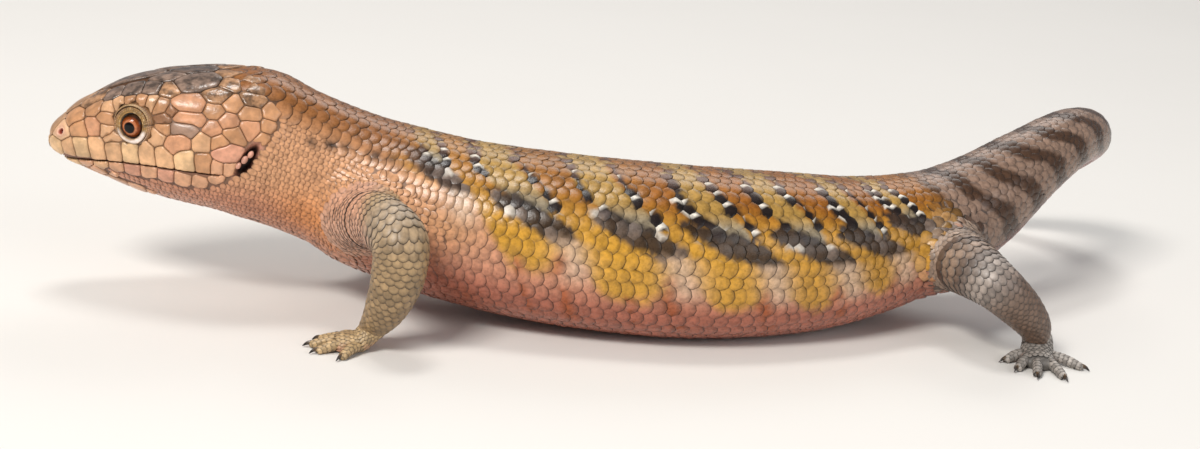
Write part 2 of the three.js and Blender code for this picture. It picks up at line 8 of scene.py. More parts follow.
import bpy
import numpy as np
from mathutils import Matrix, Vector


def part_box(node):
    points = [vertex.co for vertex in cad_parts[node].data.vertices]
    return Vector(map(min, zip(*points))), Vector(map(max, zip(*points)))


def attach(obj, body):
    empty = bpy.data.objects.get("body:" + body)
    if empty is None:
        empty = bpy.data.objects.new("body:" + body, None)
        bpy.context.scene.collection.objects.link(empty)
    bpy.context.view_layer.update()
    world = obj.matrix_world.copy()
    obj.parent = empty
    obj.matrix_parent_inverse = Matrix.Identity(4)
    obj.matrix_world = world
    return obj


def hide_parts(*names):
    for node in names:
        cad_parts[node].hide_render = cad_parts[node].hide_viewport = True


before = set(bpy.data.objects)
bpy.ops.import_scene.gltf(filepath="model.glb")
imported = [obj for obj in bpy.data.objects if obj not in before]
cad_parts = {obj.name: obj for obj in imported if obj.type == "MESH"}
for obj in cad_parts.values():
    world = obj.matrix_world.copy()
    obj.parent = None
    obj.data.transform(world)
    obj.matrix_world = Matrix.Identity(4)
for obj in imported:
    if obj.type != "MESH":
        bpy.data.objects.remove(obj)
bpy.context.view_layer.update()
rng = np.random.default_rng(7)
print("frame loaded")


# The body's shape

body = {
    "perSpan": 40,  # steps from one station to the next
    "coat": 0.38,  # how far the skin lies inside the solids, mm
    "noseRound": 0.9,  # length of the dome that closes the snout, mm
    "rows": 19,  # scale rows on each side of the trunk
    # x, y, z of the spine, half width, rise above it, drop below it, and how square the
    # upper and lower halves are, at each station from snout to tail tip
    "stations": [
        (-103.8, -4.3, 28.3, 0.9, 0.7, 0.8, 2.0, 2.0),  # snout
        (-102.9, -4.3, 28.4, 3.1, 2.2, 2.4, 2.1, 2.1),  # rostral
        (-101.2, -4.2, 28.8, 4.7, 3.9, 3.7, 2.3, 2.2),  # nostril
        (-98.4, -4.0, 29.2, 6.3, 6.0, 5.4, 2.4, 2.2),  # lore
        (-94.6, -3.7, 29.8, 7.9, 7.8, 7.3, 2.5, 2.2),  # brow front
        (-89.1, -3.2, 30.4, 9.7, 10.4, 9.9, 2.7, 2.2),  # eye
        (-83.4, -2.6, 30.6, 11.5, 12.0, 11.6, 2.7, 2.2),  # temple
        (-77.6, -2.0, 30.6, 13.1, 12.9, 12.6, 2.6, 2.2),  # jaw
        (-71.4, -1.2, 30.2, 13.9, 14.0, 13.2, 2.4, 2.2),  # jowl
        (-65.4, -0.6, 29.2, 13.5, 14.8, 13.8, 2.3, 2.2),  # ear
        (-58.6, 0.0, 27.2, 12.6, 13.8, 13.7, 2.2, 2.2),  # nape
        (-50.0, 0.2, 24.2, 12.7, 13.9, 13.6, 2.2, 2.2),  # neck
        (-40.0, 0.2, 21.0, 14.6, 14.8, 14.8, 2.2, 2.2),  # shoulder
        (-26.0, 0.0, 18.2, 16.7, 15.3, 15.5, 2.2, 2.3),  # chest
        (-6.0, 0.1, 16.4, 18.1, 15.9, 16.0, 2.2, 2.5),  # belly front
        (16.0, 2.2, 15.3, 18.5, 16.2, 16.0, 2.2, 2.5),  # belly
        (36.0, 8.4, 14.8, 17.2, 15.5, 15.2, 2.2, 2.5),  # belly rear
        (49.7, 14.6, 15.0, 15.2, 14.1, 13.6, 2.2, 2.4),  # loin
        (60.0, 19.8, 16.2, 13.2, 13.0, 12.0, 2.2, 2.3),  # hip
        (69.0, 25.0, 18.6, 11.4, 11.6, 10.6, 2.2, 2.2),  # vent
        (77.4, 30.6, 22.4, 10.1, 10.4, 9.8, 2.1, 2.1),  # tail root
        (86.9, 38.5, 27.8, 8.2, 8.6, 7.6, 2.1, 2.1),  # tail rise
        (97.0, 49.5, 31.8, 6.9, 7.1, 6.4, 2.0, 2.0),  # tail crest
        (104.2, 61.5, 30.6, 5.9, 6.0, 5.7, 2.0, 2.0),  # tail bend
        (103.6, 74.0, 23.4, 5.1, 5.0, 5.0, 2.0, 2.0),  # tail fall
        (96.0, 83.0, 14.0, 3.9, 3.8, 3.8, 2.0, 2.0),  # tail turn
        (85.0, 87.0, 6.4, 2.8, 2.7, 2.7, 2.0, 2.0),  # tail low
        (75.0, 88.0, 2.0, 1.9, 1.8, 2.1, 2.0, 2.0),  # tail laid
        (66.5, 87.5, 0.7, 0.6, 0.6, 0.8, 2.0, 2.0),  # tail tip
    ],
    # soft forms of the head: s, angle, length along, spread in degrees, height
    "forms": [
        (9.5, 53, 5.0, 13, 0.45),  # ridge from brow to snout
        (9.5, 82, 4.0, 13, -0.45),  # hollow before the eye
        (17.0, 48, 5.0, 12, 0.75),  # brow
        (17.5, 78, 4.5, 20, -0.5),  # hollow that the eye sits in
        (26.5, 66, 4.5, 8, -0.4),  # fold behind the eye
        (31.0, 118, 6.0, 22, 0.5),  # jaw muscle
        (24.0, 100, 6.0, 14, 0.3),  # cheek
    ],
}


def unit(vectors):
    # each vector over its own length
    return vectors / np.maximum(np.linalg.norm(vectors, axis=-1, keepdims=True), 1e-9)


def smooth(low, high, x):
    # 0 below low and 1 above high, by 3x2 - 2x3 between them
    x = np.clip((x - low) / (high - low), 0, 1)
    return x * x * (3 - 2 * x)


def throughRows(rows, perSpan):
    # uniform Catmull-Rom curve through rows of values:
    # half of 2b + (c - a)f + (2a - 5b + 4c - d)f2 + (3b - 3c + d - a)f3
    rows = np.array(rows, float)
    padded = np.vstack([2 * rows[0] - rows[1], rows, 2 * rows[-1] - rows[-2]])
    t = np.linspace(0, len(rows) - 1, (len(rows) - 1) * perSpan + 1)
    i = np.minimum(t.astype(int), len(rows) - 2)
    f = (t - i)[:, None]
    a, b, c, d = (padded[i + k] for k in range(4))
    square = (2 * a - 5 * b + 4 * c - d) * f**2
    cube = (3 * b - 3 * c + d - a) * f**3
    return 0.5 * (2 * b + (c - a) * f + square + cube)


def spineTable(rows, perSpan):
    # the curve's values against length along it, with the spine's direction, the left
    # square to it and level, and the up square to both
    table = throughRows(rows, perSpan)
    steps = np.linalg.norm(np.diff(table[:, :3], axis=0), axis=1)
    length = np.concatenate([[0], np.cumsum(steps)])
    along = unit(np.gradient(table[:, :3], length, axis=0))
    left = unit(np.cross(along, [0, 0, 1]))
    up = np.cross(left, along)
    return length, np.hstack([table, along, left, up])


spineLength, spineValues = spineTable(body["stations"], body["perSpan"])
bodyLength = spineLength[-1]
spineColumns = {
    "at": slice(0, 3),
    "wide": 3,
    "tall": 4,
    "deep": 5,
    "squareUp": 6,
    "squareDown": 7,
    "along": slice(8, 11),
    "left": slice(11, 14),
    "up": slice(14, 17),
}


def readTable(x, places, values):
    # every column of a table, read at x by straight steps
    return np.stack([np.interp(x, places, column) for column in values.T], -1)


def named(values, columns):
    # a table's columns by their names
    return {name: values[..., part] for name, part in columns.items()}


def spineAt(s):
    # the spine's columns at s
    return named(readTable(s, spineLength, spineValues), spineColumns)


def nearestOnSpine(points, s):
    # the columns at the nearest of some places on the spine, that place, and how far left,
    # up and ahead of it each point lies; worked in blocks to save memory
    values = readTable(s, spineLength, spineValues)
    flat = points.reshape(-1, 3)
    near = np.concatenate([
        ((block[:, None, :] - values[None, :, :3]) ** 2).sum(-1).argmin(1)
        for block in np.array_split(flat, len(flat) // 4000 + 1)
    ]).reshape(points.shape[:-1])
    q = named(values[near], spineColumns)
    away = points - q["at"]
    left, up, ahead = ((away * q[name]).sum(-1) for name in ("left", "up", "along"))
    return q, s[near], left, up, ahead


def halfSizes(q, up):
    # the height and the squareness of the half, upper or lower, that a point is in
    return np.where(up > 0, q["tall"], q["deep"]), np.where(up > 0, q["squareUp"], q["squareDown"])


def headForms(s, degrees):
    # sum of height * exp(-u2 - v2) over the soft forms, alike on both sides
    height = np.zeros(np.broadcast(s, degrees).shape)
    for along, angle, length, spread, high in body["forms"]:
        u = (s - along) / length
        v = (np.abs(degrees) - angle) / spread
        height += high * np.exp(-u * u - v * v)
    return height


def bodyPoint(s, degrees, lift=0.0):
    # spine + left * wide * |sin|^(2/n) + up * high * |cos|^(2/n), n above or below; the
    # first 0.9 mm is a dome, and a place ahead of the snout comes round its other side
    s, degrees, lift = np.broadcast_arrays(s, degrees, lift)
    degrees = np.where(s < 0, degrees + 180, degrees)
    degrees = (degrees + 180) % 360 - 180
    s = np.abs(s)
    q = spineAt(s)
    sine = np.sin(np.radians(degrees))
    cosine = np.cos(np.radians(degrees))
    tall, square = halfSizes(q, cosine)
    power = 2 / square
    dome = np.sqrt(np.clip(1 - (1 - np.minimum(s / body["noseRound"], 1)) ** 2, 0, 1))
    reach = lift + headForms(s, degrees)
    wide = (q["wide"] + reach) * dome * np.sign(sine) * np.abs(sine) ** power
    high = (tall + reach) * dome
    high = high * np.sign(cosine) * np.abs(cosine) ** power
    ahead = reach * np.sqrt(1 - dome**2)
    point = q["at"] + q["left"] * wide[..., None] + q["up"] * high[..., None]
    return point - q["along"] * ahead[..., None]


def bodyNormal(s, degrees):
    # (step round) x (step along), which points outwards; ahead of the snout it is that of
    # the other side, as in bodyPoint
    degrees = np.where(s < 0, degrees + 180, degrees)
    s = np.abs(s)
    around = bodyPoint(s, degrees + 0.5) - bodyPoint(s, degrees - 0.5)
    s = np.maximum(s, 0.1)
    along = bodyPoint(s + 0.05, degrees) - bodyPoint(s - 0.05, degrees)
    return unit(np.cross(around, along))


# girth from crown to keel at every mm of s, and the angle at each share of it
girthSteps = np.arange(0, np.floor(bodyLength) + 1)
girthAngles = np.linspace(0, 180, 181)
girthRings = bodyPoint(girthSteps[:, None], girthAngles[None, :])
girthArcs = np.linalg.norm(np.diff(girthRings, axis=1), axis=2)
girthArcs = np.hstack([np.zeros((len(girthSteps), 1)), np.cumsum(girthArcs, 1)])
halfGirth = girthArcs[:, -1]
shareSteps = np.linspace(0, 1, 241)
angleTable = np.array([np.interp(shareSteps, arc / arc[-1], girthAngles) for arc in girthArcs])


def angleAtShare(s, share):
    # reads the table of angles between its four nearest places
    x = np.clip(s, 0, len(girthSteps) - 1.001)
    y = np.clip(share, 0, 1) * (len(shareSteps) - 1.001)
    i, j = x.astype(int), y.astype(int)
    u, v = x - i, y - j
    near = angleTable[i, j] * (1 - v) + angleTable[i, j + 1] * v
    far = angleTable[i + 1, j] * (1 - v) + angleTable[i + 1, j + 1] * v
    return near * (1 - u) + far * u


def mmPerDegree(pointAt, s, degrees):
    # length of a step of one degree round the surface
    step = pointAt(s, degrees + 0.5) - pointAt(s, degrees - 0.5)
    return np.linalg.norm(step, axis=-1)


# the solids stand a little off the spine's own numbers, because the model is centred on
# the floor; the eyes' boxes say how far
eyePlace = {"s": 16.9, "degrees": 75.0, "ball": 3.1, "sunk": 2.8}


def eyeCentre(side):
    # the place on the skin, less the normal times how far the ball is sunk
    s, degrees = np.array(eyePlace["s"]), np.array(side * eyePlace["degrees"])
    return bodyPoint(s, degrees) - bodyNormal(s, degrees) * eyePlace["sunk"]


eyeBoxes = [np.array(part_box(name)).mean(0) * 1000 for name in ("eye_left", "eye_right")]
offset = np.mean([eyeBoxes[0] - eyeCentre(1), eyeBoxes[1] - eyeCentre(-1)], axis=0)
offset[2] = 0
print("offset from the spine's numbers, mm:", np.round(offset, 3))


# Making meshes


def linear(text):
    # sRGB hex to linear: c / 12.92, or ((c + 0.055) / 1.055) ^ 2.4
    c = np.array([int(text[i : i + 2], 16) for i in (1, 3, 5)]) / 255
    return np.where(c <= 0.04045, c / 12.92, ((c + 0.055) / 1.055) ** 2.4)


def linearAll(colours):
    # a dictionary of hex colours made linear
    return {name: linear(text) for name, text in colours.items()}


def mix(a, b, share):
    # a * (1 - share) + b * share
    share = np.asarray(share)[..., None]
    return a * (1 - share) + b * share


def gridFaces(across, down, closed):
    # corner numbers of the quads of a grid with rows of the given width; closed joins the
    # last column to the first
    columns = across if closed else across - 1
    i, j = np.meshgrid(np.arange(down - 1), np.arange(columns), indexing="ij")
    k = (j + 1) % across
    quads = np.stack([i * across + j, i * across + k, (i + 1) * across + k, (i + 1) * across + j], -1)
    return quads.reshape(-1, 4)


def plateFaces(n, rings):
    # a plate with n corners to a ring: a fan round its middle point, which comes first, the
    # quads from ring to ring and one flat bottom
    k = np.arange(n)
    fan = np.stack([np.zeros(n, int), 1 + (k + 1) % n, 1 + k], -1)
    bottom = 1 + n * (rings - 1) + k
    return fan, gridFaces(n, rings, True) + 1, bottom[None, :]


def joinCopies(points, tint, uv, faceSets):
    # a shell of many copies of one form: corner numbers go up by its size with each copy
    count, size = points.shape[:2]
    first = np.arange(count)[:, None, None] * size
    faces = [(one[None] + first).reshape(-1, one.shape[1]) for one in faceSets]
    return points.reshape(-1, 3), tint.reshape(-1, 3), uv.reshape(-1, 2), faces


def cappedRings(points):
    # rings of points closed by a fan at each end, whose pole is the end ring's middle
    rings, around = points.shape[:2]
    k = np.arange(around)
    size = rings * around
    poles = np.array([points[0].mean(0), points[-1].mean(0)])
    first = np.stack([np.full(around, size), (k + 1) % around, k], -1)
    last = np.stack([np.full(around, size + 1), size - around + k, size - around + (k + 1) % around], -1)
    return np.vstack([points.reshape(-1, 3), poles]), [gridFaces(around, rings, True), first, last]


aboveFloor = 0.02  # the lowest that any point of the model may lie, mm


def makePiece(name, shells, material):
    # shells of points, tint, unwrap and faces joined in one mesh: millimetres to metres,
    # moved by the offset and kept above the floor
    bases = np.cumsum([0] + [len(shell[0]) for shell in shells[:-1]])
    points, tint, uv = (np.concatenate([shell[k] for shell in shells]) for k in range(3))
    faceSets = [faces + first for shell, first in zip(shells, bases) for faces in shell[3]]
    points = points + offset
    points[:, 2] = np.maximum(points[:, 2], aboveFloor)
    corners = np.concatenate([faces.ravel() for faces in faceSets]).astype(np.int32)
    counts = np.concatenate([np.full(len(faces), faces.shape[1]) for faces in faceSets])
    starts = np.concatenate([[0], np.cumsum(counts)[:-1]]).astype(np.int32)
    mesh = bpy.data.meshes.new(name)
    mesh.vertices.add(len(points))
    mesh.loops.add(len(corners))
    mesh.polygons.add(len(counts))
    mesh.vertices.foreach_set("co", (points / 1000).astype(np.float32).ravel())
    mesh.loops.foreach_set("vertex_index", corners)
    mesh.polygons.foreach_set("loop_start", starts)
    mesh.polygons.foreach_set("use_smooth", np.ones(len(counts), bool))
    mesh.update(calc_edges=True)
    layer = mesh.color_attributes.new("tint", "FLOAT_COLOR", "POINT")
    rgba = np.hstack([np.clip(tint, 0, 1), np.ones((len(points), 1))])
    layer.data.foreach_set("color", rgba.astype(np.float32).ravel())
    layer = mesh.uv_layers.new(name="OFBake")
    layer.data.foreach_set("uv", uv[corners].astype(np.float32).ravel())
    mesh.materials.append(material)
    piece = bpy.data.objects.new(name, mesh)
    bpy.context.scene.collection.objects.link(piece)
    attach(piece, "root")
    print(f"{name}: {int((counts - 2).sum())} triangles")
    return piece


# Colours of the living skin


palette = {
    "gold": "#B0802E",
    "goldBright": "#BE8C30",
    "goldBack": "#9A6622",
    "olive": "#A07C3C",
    "grey": "#8C7F68",
    "rust": "#84460E",
    "amber": "#8C5710",
    "spot": "#94481A",
    "black": "#180D0A",
    "charcoal": "#2C211D",
    "smoke": "#665A54",
    "white": "#DDD5C8",
    "belly": "#A0604C",
    "bellyPale": "#BC8468",
    "bellyWhite": "#C4A68C",
    "throat": "#BE8468",
    "nape": "#865428",
    "neckSide": "#C4926C",
    "neckOrange": "#C07A40",
    "tailDark": "#463021",
    "tailPale": "#856C5C",
    "tailPink": "#96605A",
}
paint = linearAll(palette)

# each saddle across the back: s and angle of the middle of the blotch low on the side, and
# the width of the two streaks' fork over it, against the widest one's
saddles = [
    {"s": 72.5, "degrees": 42, "wide": 0.55},
    {"s": 93.2, "degrees": 62, "wide": 1.0},
    {"s": 111.7, "degrees": 66, "wide": 1.0},
    {"s": 127.2, "degrees": 69, "wide": 0.76},
    {"s": 141.6, "degrees": 70, "wide": 0.78},
    {"s": 154.3, "degrees": 68, "wide": 0.6},
    {"s": 166.0, "degrees": 60, "wide": 0.55},
]
markings = {
    # the fork's two lines from the blotch up: mm ahead of and behind its middle, against
    # degrees over it
    "forkAhead": [(-12, -4.2), (0, 0.8), (15, 5.8), (21, 8.8), (26, 10.4), (36, 12.6), (57, 14.0)],
    "forkBehind": [(-12, 8.2), (0, 3.4), (13, 2.3), (22, -0.7), (27, -1.4), (41, -4.9), (57, -6.5)],
    # where the gold of the flank ends below, as angle against s
    "goldEdge": [
        (60, 36), (70, 43), (78, 52), (84, 68), (90, 85), (99, 93),
        (112, 97), (128, 101), (143, 104), (160, 98), (174, 88), (180, 84),
    ],
    "lean": 0.465,  # mm that a blotch's middle goes back for a degree down, in its own reach
    "leanBelow": 0.1,  # and under it
    "blotch": (5.2, 16.5),  # its half length in mm and half height in degrees
    "whitish": 3.0,  # half length of the patch below it
    "rightSide": 1.3,  # mm that the right side's markings lie further back
    # dark marks on the neck: s, angle and strength
    "neckMarks": [(48.0, 58, 0.7), (51.4, 54, 0.9), (54.4, 50, 0.6), (60.0, 47, 0.95), (63.5, 46, 0.7)],
    "neckMark": (1.2, 4.5),  # their half length in mm and half height in degrees
    "tailBand": 9.3,  # mm from one band of the tail to the next
    "firstBand": 180.4,  # s of its first one
    "bandLean": 0.09,  # mm that a band goes back for each degree down
}


def jitter(shape, amount):
    # even random numbers from -amount to amount
    return rng.uniform(-amount, amount, shape)


def nearestSaddle(s, a):
    # mm past the middle line of the nearest blotch, past its fork's two streaks, and
    # degrees over it; far from all of them the first three are large
    best = np.full(s.shape, 1e9)
    past, ahead, behind = (np.full(s.shape, 30.0) for _ in range(3))
    over = np.zeros(s.shape)
    for one in saddles:
        x = one["degrees"] - a
        axis = one["s"] - markings["lean"] * np.clip(x, -12, 14)
        axis = axis + markings["leanBelow"] * np.maximum(-x - 12, 0)
        front = one["s"] - one["wide"] * np.interp(x, *np.transpose(markings["forkAhead"]))
        rear = one["s"] + one["wide"] * np.interp(x, *np.transpose(markings["forkBehind"]))
        middle = np.where(x > 10, (front + rear) / 2, axis)
        closer = np.abs(s - middle) < best
        best = np.where(closer, np.abs(s - middle), best)
        past = np.where(closer, s - axis, past)
        ahead = np.where(closer, s - front, ahead)
        behind = np.where(closer, s - rear, behind)
        over = np.where(closer, x, over)
    return past, ahead, behind, over


def flankColour(s, a, past, edge):
    # gold over a pink belly, parted at the edge's angle
    colour = mix(paint["goldBack"], paint["gold"], smooth(28, 56, a))
    colour = mix(colour, paint["goldBright"], smooth(50, 80, a) * smooth(150, 120, s))
    under = mix(paint["bellyPale"], paint["belly"], smooth(90, 116, a))
    under = mix(under, paint["neckSide"], smooth(94, 78, s) * smooth(100, 80, a))
    return mix(colour, under, smooth(-5, 6, a - edge))


def layStreaks(colour, a, pitch, saddle, chance, onTrunk):
    # a fork's streaks, one scale wide: black, and white along each scale's upper side
    _, ahead, behind, over = saddle
    grouped = a.ndim > 1
    lines = ahead + 0.3, behind - 0.3
    means = [x.mean(-1, keepdims=True) if grouped else x for x in lines]
    near = np.minimum(*np.abs(means))
    dark = mix(paint["rust"] * 0.4, paint["black"], smooth(10, 32, a))
    pale = mix(paint["olive"], paint["white"], smooth(4, 22, a))
    reach = np.minimum(*np.abs(lines))
    aside = a - a.mean(-1, keepdims=True) if grouped else np.zeros(a.shape)
    white = smooth(-0.26, -0.4, aside / np.maximum(np.abs(aside).max(-1, keepdims=True), 0.1))
    white = white * smooth(1.5, 1.1, reach) * (chance > 0.12)
    streak = onTrunk * smooth(4, 6, over) * (near < 0.5 * pitch) * smooth(1.9, 1.35, reach)
    return mix(colour, mix(dark, pale, white), streak)


def trunkColour(s, a, pitch, own):
    # the flank, then the amber of the back, each fork's inside and streaks, its blotch, and
    # what hangs below it, laid over one another by their distances
    saddle = nearestSaddle(s, a)
    past, ahead, behind, over = saddle
    onTrunk = smooth(59, 62, s) * smooth(178, 176, s)
    chance = rng.uniform(0, 1, own)
    # the gold hangs lowest midway between two blotches
    edge = np.interp(s, *np.transpose(markings["goldEdge"])) + jitter(own, 2.5)
    edge = edge + 6 * smooth(3, 7, np.abs(past)) - 8 * smooth(4.5, 1, np.abs(past - 0.6))
    colour = flankColour(s, a, past, edge)
    # the back between the saddles is amber, strongest behind the streaks
    inside = smooth(-0.3, 0.5, ahead) * smooth(0.3, -0.5, behind)
    warm = smooth(66, 34, a) * (0.45 + 0.55 * np.exp(-np.clip(behind, 0, 20) / 6)) * smooth(76, 92, s)
    amber = mix(paint["amber"], paint["rust"], 0.35 * smooth(100, 120, s))
    colour = mix(colour, amber, warm * (1 - inside) * onTrunk)
    # within a fork it is pale olive, grey towards the blotch
    inner = mix(paint["olive"], paint["grey"], smooth(26, 10, over))
    colour = mix(colour, inner, inside * onTrunk * smooth(3, 5, over))
    colour = layStreaks(colour, a, pitch, saddle, chance, onTrunk)
    # blotch: a smoky patch of charcoal, grey and a few white scales where the streaks meet
    long, high = markings["blotch"]
    spread = np.hypot(past / long, (over - 1) / high) + jitter(own, 0.13)
    smoke = mix(paint["charcoal"], paint["smoke"], smooth(0.7, 0.9, chance) * 0.8)
    smoke = mix(smoke, paint["white"], (chance > 0.93) * (over > 0) * 0.6)
    smoke = mix(smoke, paint["black"], smooth(0.2, 0.0, chance))
    colour = mix(colour, smoke, smooth(1.06, 0.84, spread) * onTrunk * smooth(173, 171, s) * 0.94)
    # below each blotch a whitish patch reaches down
    below = np.exp(-(((past - 0.8) / markings["whitish"]) ** 2))
    below = below * smooth(-9, -13, over) * smooth(-40, -26, over)
    colour = mix(colour, paint["bellyWhite"], below * smooth(64, 70, s) * smooth(174, 170, s) * 0.85)
    # rust at the lower tips of the gold, and broken bars under them
    spot = np.minimum(np.abs(past + 2.0), np.abs(past + 9.5))
    tips = np.exp(-((spot / 1.5) ** 2) - ((a - edge - 2) / 4.0) ** 2)
    bars = np.exp(-((spot / 1.1) ** 2)) * smooth(99, 105, a) * smooth(136, 122, a) * (chance > 0.25)
    strong = np.clip(tips * 0.75 + bars * 0.95, 0, 0.85)
    return mix(colour, paint["spot"], strong * smooth(82, 86, s) * smooth(162, 158, s))


def neckColour(s, a):
    # brown above and pale below, with an orange glow at the shoulder and a few dark marks
    neck = mix(paint["nape"], paint["neckSide"], smooth(28, 66, a))
    neck = mix(neck, paint["throat"], smooth(92, 128, a))
    orange = np.exp(-(((s - 55) / 9) ** 2) - ((a - 112) / 20) ** 2)
    neck = mix(neck, paint["neckOrange"], orange * 0.8)
    long, high = markings["neckMark"]
    for markS, markA, strong in markings["neckMarks"]:
        near = np.exp(-(((s - markS) / long) ** 2) - ((a - markA) / high) ** 2)
        neck = mix(neck, paint["charcoal"], near * strong)
    return neck


def tailColour(s, a, own):
    # slanting dark bands on pale skin, pink below
    step = markings["tailBand"]
    start = markings["firstBand"] - step
    band = (s - markings["bandLean"] * a - start) / step + 0.012 * np.maximum(s - 225, 0)
    wave = np.cos(2 * np.pi * band + 0.7 * np.sin(a / 13 + s / 17)) + jitter(own, 0.25)
    tail = mix(paint["tailPale"], paint["tailDark"], smooth(-0.2, 0.45, wave))
    return mix(tail, paint["tailPink"], smooth(104, 140, a) * 0.85)


def bodyColour(s, degrees, pitch):
    # neck, trunk and tail, each run into the next over a few mm; the first axis of s and
    # degrees counts the scales, and what is drawn by chance is one number for each
    a = np.abs(degrees)
    s = s + np.where(degrees < 0, markings["rightSide"], 0)
    own = (len(s),) + (1,) * (s.ndim - 1)
    colour = mix(neckColour(s, a), trunkColour(s, a, pitch, own), smooth(60, 72, s))
    colour = mix(colour, tailColour(s, a, own), smooth(170, 177, s + jitter(own, 1.5)))
    return np.clip(colour * (1 + jitter(own + (1,), 0.08)), 0, 1)


# Materials


def addNode(tree, kind, settings=None, links=None):
    # one node with its settings by name, and its inputs linked or set by name
    node = tree.nodes.new(kind)
    for name, value in (settings or {}).items():
        setattr(node, name, value)
    for name, value in (links or {}).items():
        if isinstance(value, bpy.types.NodeSocket):
            tree.links.new(value, node.inputs[name])
        else:
            node.inputs[name].default_value = value
    return node


def newMaterial(name):
    # an empty node tree with its output and principled shader
    material = bpy.data.materials.new(name)
    material.use_nodes = True
    tree = material.node_tree
    tree.nodes.clear()
    output = addNode(tree, "ShaderNodeOutputMaterial")
    shader = addNode(tree, "ShaderNodeBsdfPrincipled")
    tree.links.new(shader.outputs[0], output.inputs[0])
    return material, tree, shader


def mottledTint(tree, scale, detail, low, high, ends):
    # the colour attribute times noise: its scale, detail, the noise that counts as least
    # and greatest, and the shares that those two give
    tint = addNode(tree, "ShaderNodeAttribute", {"attribute_name": "tint"})
    where = addNode(tree, "ShaderNodeTexCoord").outputs["Object"]
    links = {"Vector": where, "Scale": scale, **detail}
    noise = addNode(tree, "ShaderNodeTexNoise", None, links).outputs["Fac"]
    spread = {"Value": noise, "From Min": low, "From Max": high, "To Min": ends[0], "To Max": ends[1]}
    share = addNode(tree, "ShaderNodeMapRange", None, spread)
    product = {0: tint.outputs["Color"], "Scale": share.outputs[0]}
    shade = addNode(tree, "ShaderNodeVectorMath", {"operation": "SCALE"}, product)
    return shade.outputs[0], where, noise


def scaleMaterial(name, roughness, grain, strength, mottled=(900.0, 0.78, 1.16), shine=0.5):
    # keratin: the colour attribute, mottled by noise (its scale and its least and greatest
    # share), under a grain of the given size in mm; the mottling moves the roughness too
    material, tree, shader = newMaterial(name)
    mottling = {"Detail": 3.0, "Roughness": 0.6}
    shade, where, mottle = mottledTint(tree, mottled[0], mottling, 0.36, 0.64, mottled[1:])
    fine = addNode(tree, "ShaderNodeTexNoise", None, {"Vector": where, "Scale": 1000 / grain, "Detail": 2.0})
    relief = {"Height": fine.outputs["Fac"], "Strength": strength, "Distance": 0.0001}
    bump = addNode(tree, "ShaderNodeBump", None, relief)
    spread = {"Value": mottle, "To Min": roughness - 0.08, "To Max": roughness + 0.08}
    rough = addNode(tree, "ShaderNodeMapRange", None, spread)
    tree.links.new(shade, shader.inputs["Base Color"])
    tree.links.new(rough.outputs[0], shader.inputs["Roughness"])
    tree.links.new(bump.outputs[0], shader.inputs["Normal"])
    shader.inputs["IOR"].default_value = 1.54
    shader.inputs["Specular IOR Level"].default_value = shine
    return material


# keratin scales, smooth and lacquered: each catches a small soft highlight
bodyKeratin = scaleMaterial("bodyKeratin", 0.28, 0.35, 0.3, shine=0.34)


# Scales: one small closed plate, copied as arrays

scaleShape = {
    "sides": 12,
    "rings": [0.0, 0.55, 0.88, 1.0],  # shares of the half size, from the middle out
    "suturesAndShade": [1.12, 1.06, 0.74, 0.2],  # tone of each ring: a lighter middle, then dark sutures and painted shade towards the sunk edge
    "rim": 0.16,  # painted shade of the side wall, which lies under the neighbouring scales
    "square": 1.85,  # how square the outline is
    "long": 1.9,  # whole length over the pitch
    "wide": 1.62,  # whole width over the row's width
    "ofLength": 4.3,  # the heights below are in mm for a scale of this length
    "sunk": 0.16,  # how deep the front edge lies
    "rise": 0.34,  # how far the rear edge stands above it
    "dome": 0.13,
    "bevel": 0.05,
    "thick": 0.2,
    "tilt": (0.05, 0.05, 0.03),  # each scale's own tilt along and across, and its lift
    "patch": 0.0014,  # half size of its patch of the unwrap
}


def scaleTemplate():
    # rings of one rounded outline, u to the rear and v across, a wall below the last ring
    # and a flat bottom; heights are a slope along u, a dome and a bevelled rim
    n = scaleShape["sides"]
    turn = 2 * np.pi * np.arange(n) / n
    power = 2 / scaleShape["square"]
    radius = np.concatenate([[0], np.repeat(scaleShape["rings"][1:] + [1.0], n)])
    # each ring's tone: a lighter middle, dark sutures and painted shade at the edge and on the wall
    suturesAndShade = scaleShape["suturesAndShade"]
    shade = np.concatenate([suturesAndShade[:1], np.repeat(suturesAndShade[1:] + [scaleShape["rim"]], n)])
    rings = len(scaleShape["rings"])

    def outline(way):
        # one ring's shape, at every ring's size
        return radius * np.concatenate([[0], np.tile(np.sign(way) * np.abs(way) ** power, rings)])

    u, v = outline(np.cos(turn)), outline(np.sin(turn))
    high = scaleShape["rise"] * (u + 1) / 2 - scaleShape["sunk"] + scaleShape["dome"] * (1 - radius**2)
    wall = np.arange(len(u)) >= len(u) - n
    high = high - scaleShape["bevel"] * (radius > 0.95) - wall * scaleShape["thick"]
    return u, v, high, shade, plateFaces(n, rings)


template = scaleTemplate()


def scaleLift(length, size, sunk):
    # the template's heights at each scale's own length, less how deep it is set
    return template[2] * (length[:, None] / scaleShape["ofLength"]) * size - sunk


def scaleCopies(points, colour, place, edge):
    # the template's copies, their ring tones (dark sutures and painted shade) raised to the power edge, and
    # each in a small patch at its own place
    u, v, _, shade, faces = template
    tint = colour * shade[None, :, None] ** edge
    uv = place[:, None, :] + np.stack([u, v], -1)[None] * scaleShape["patch"]
    return joinCopies(points, tint, uv, faces)


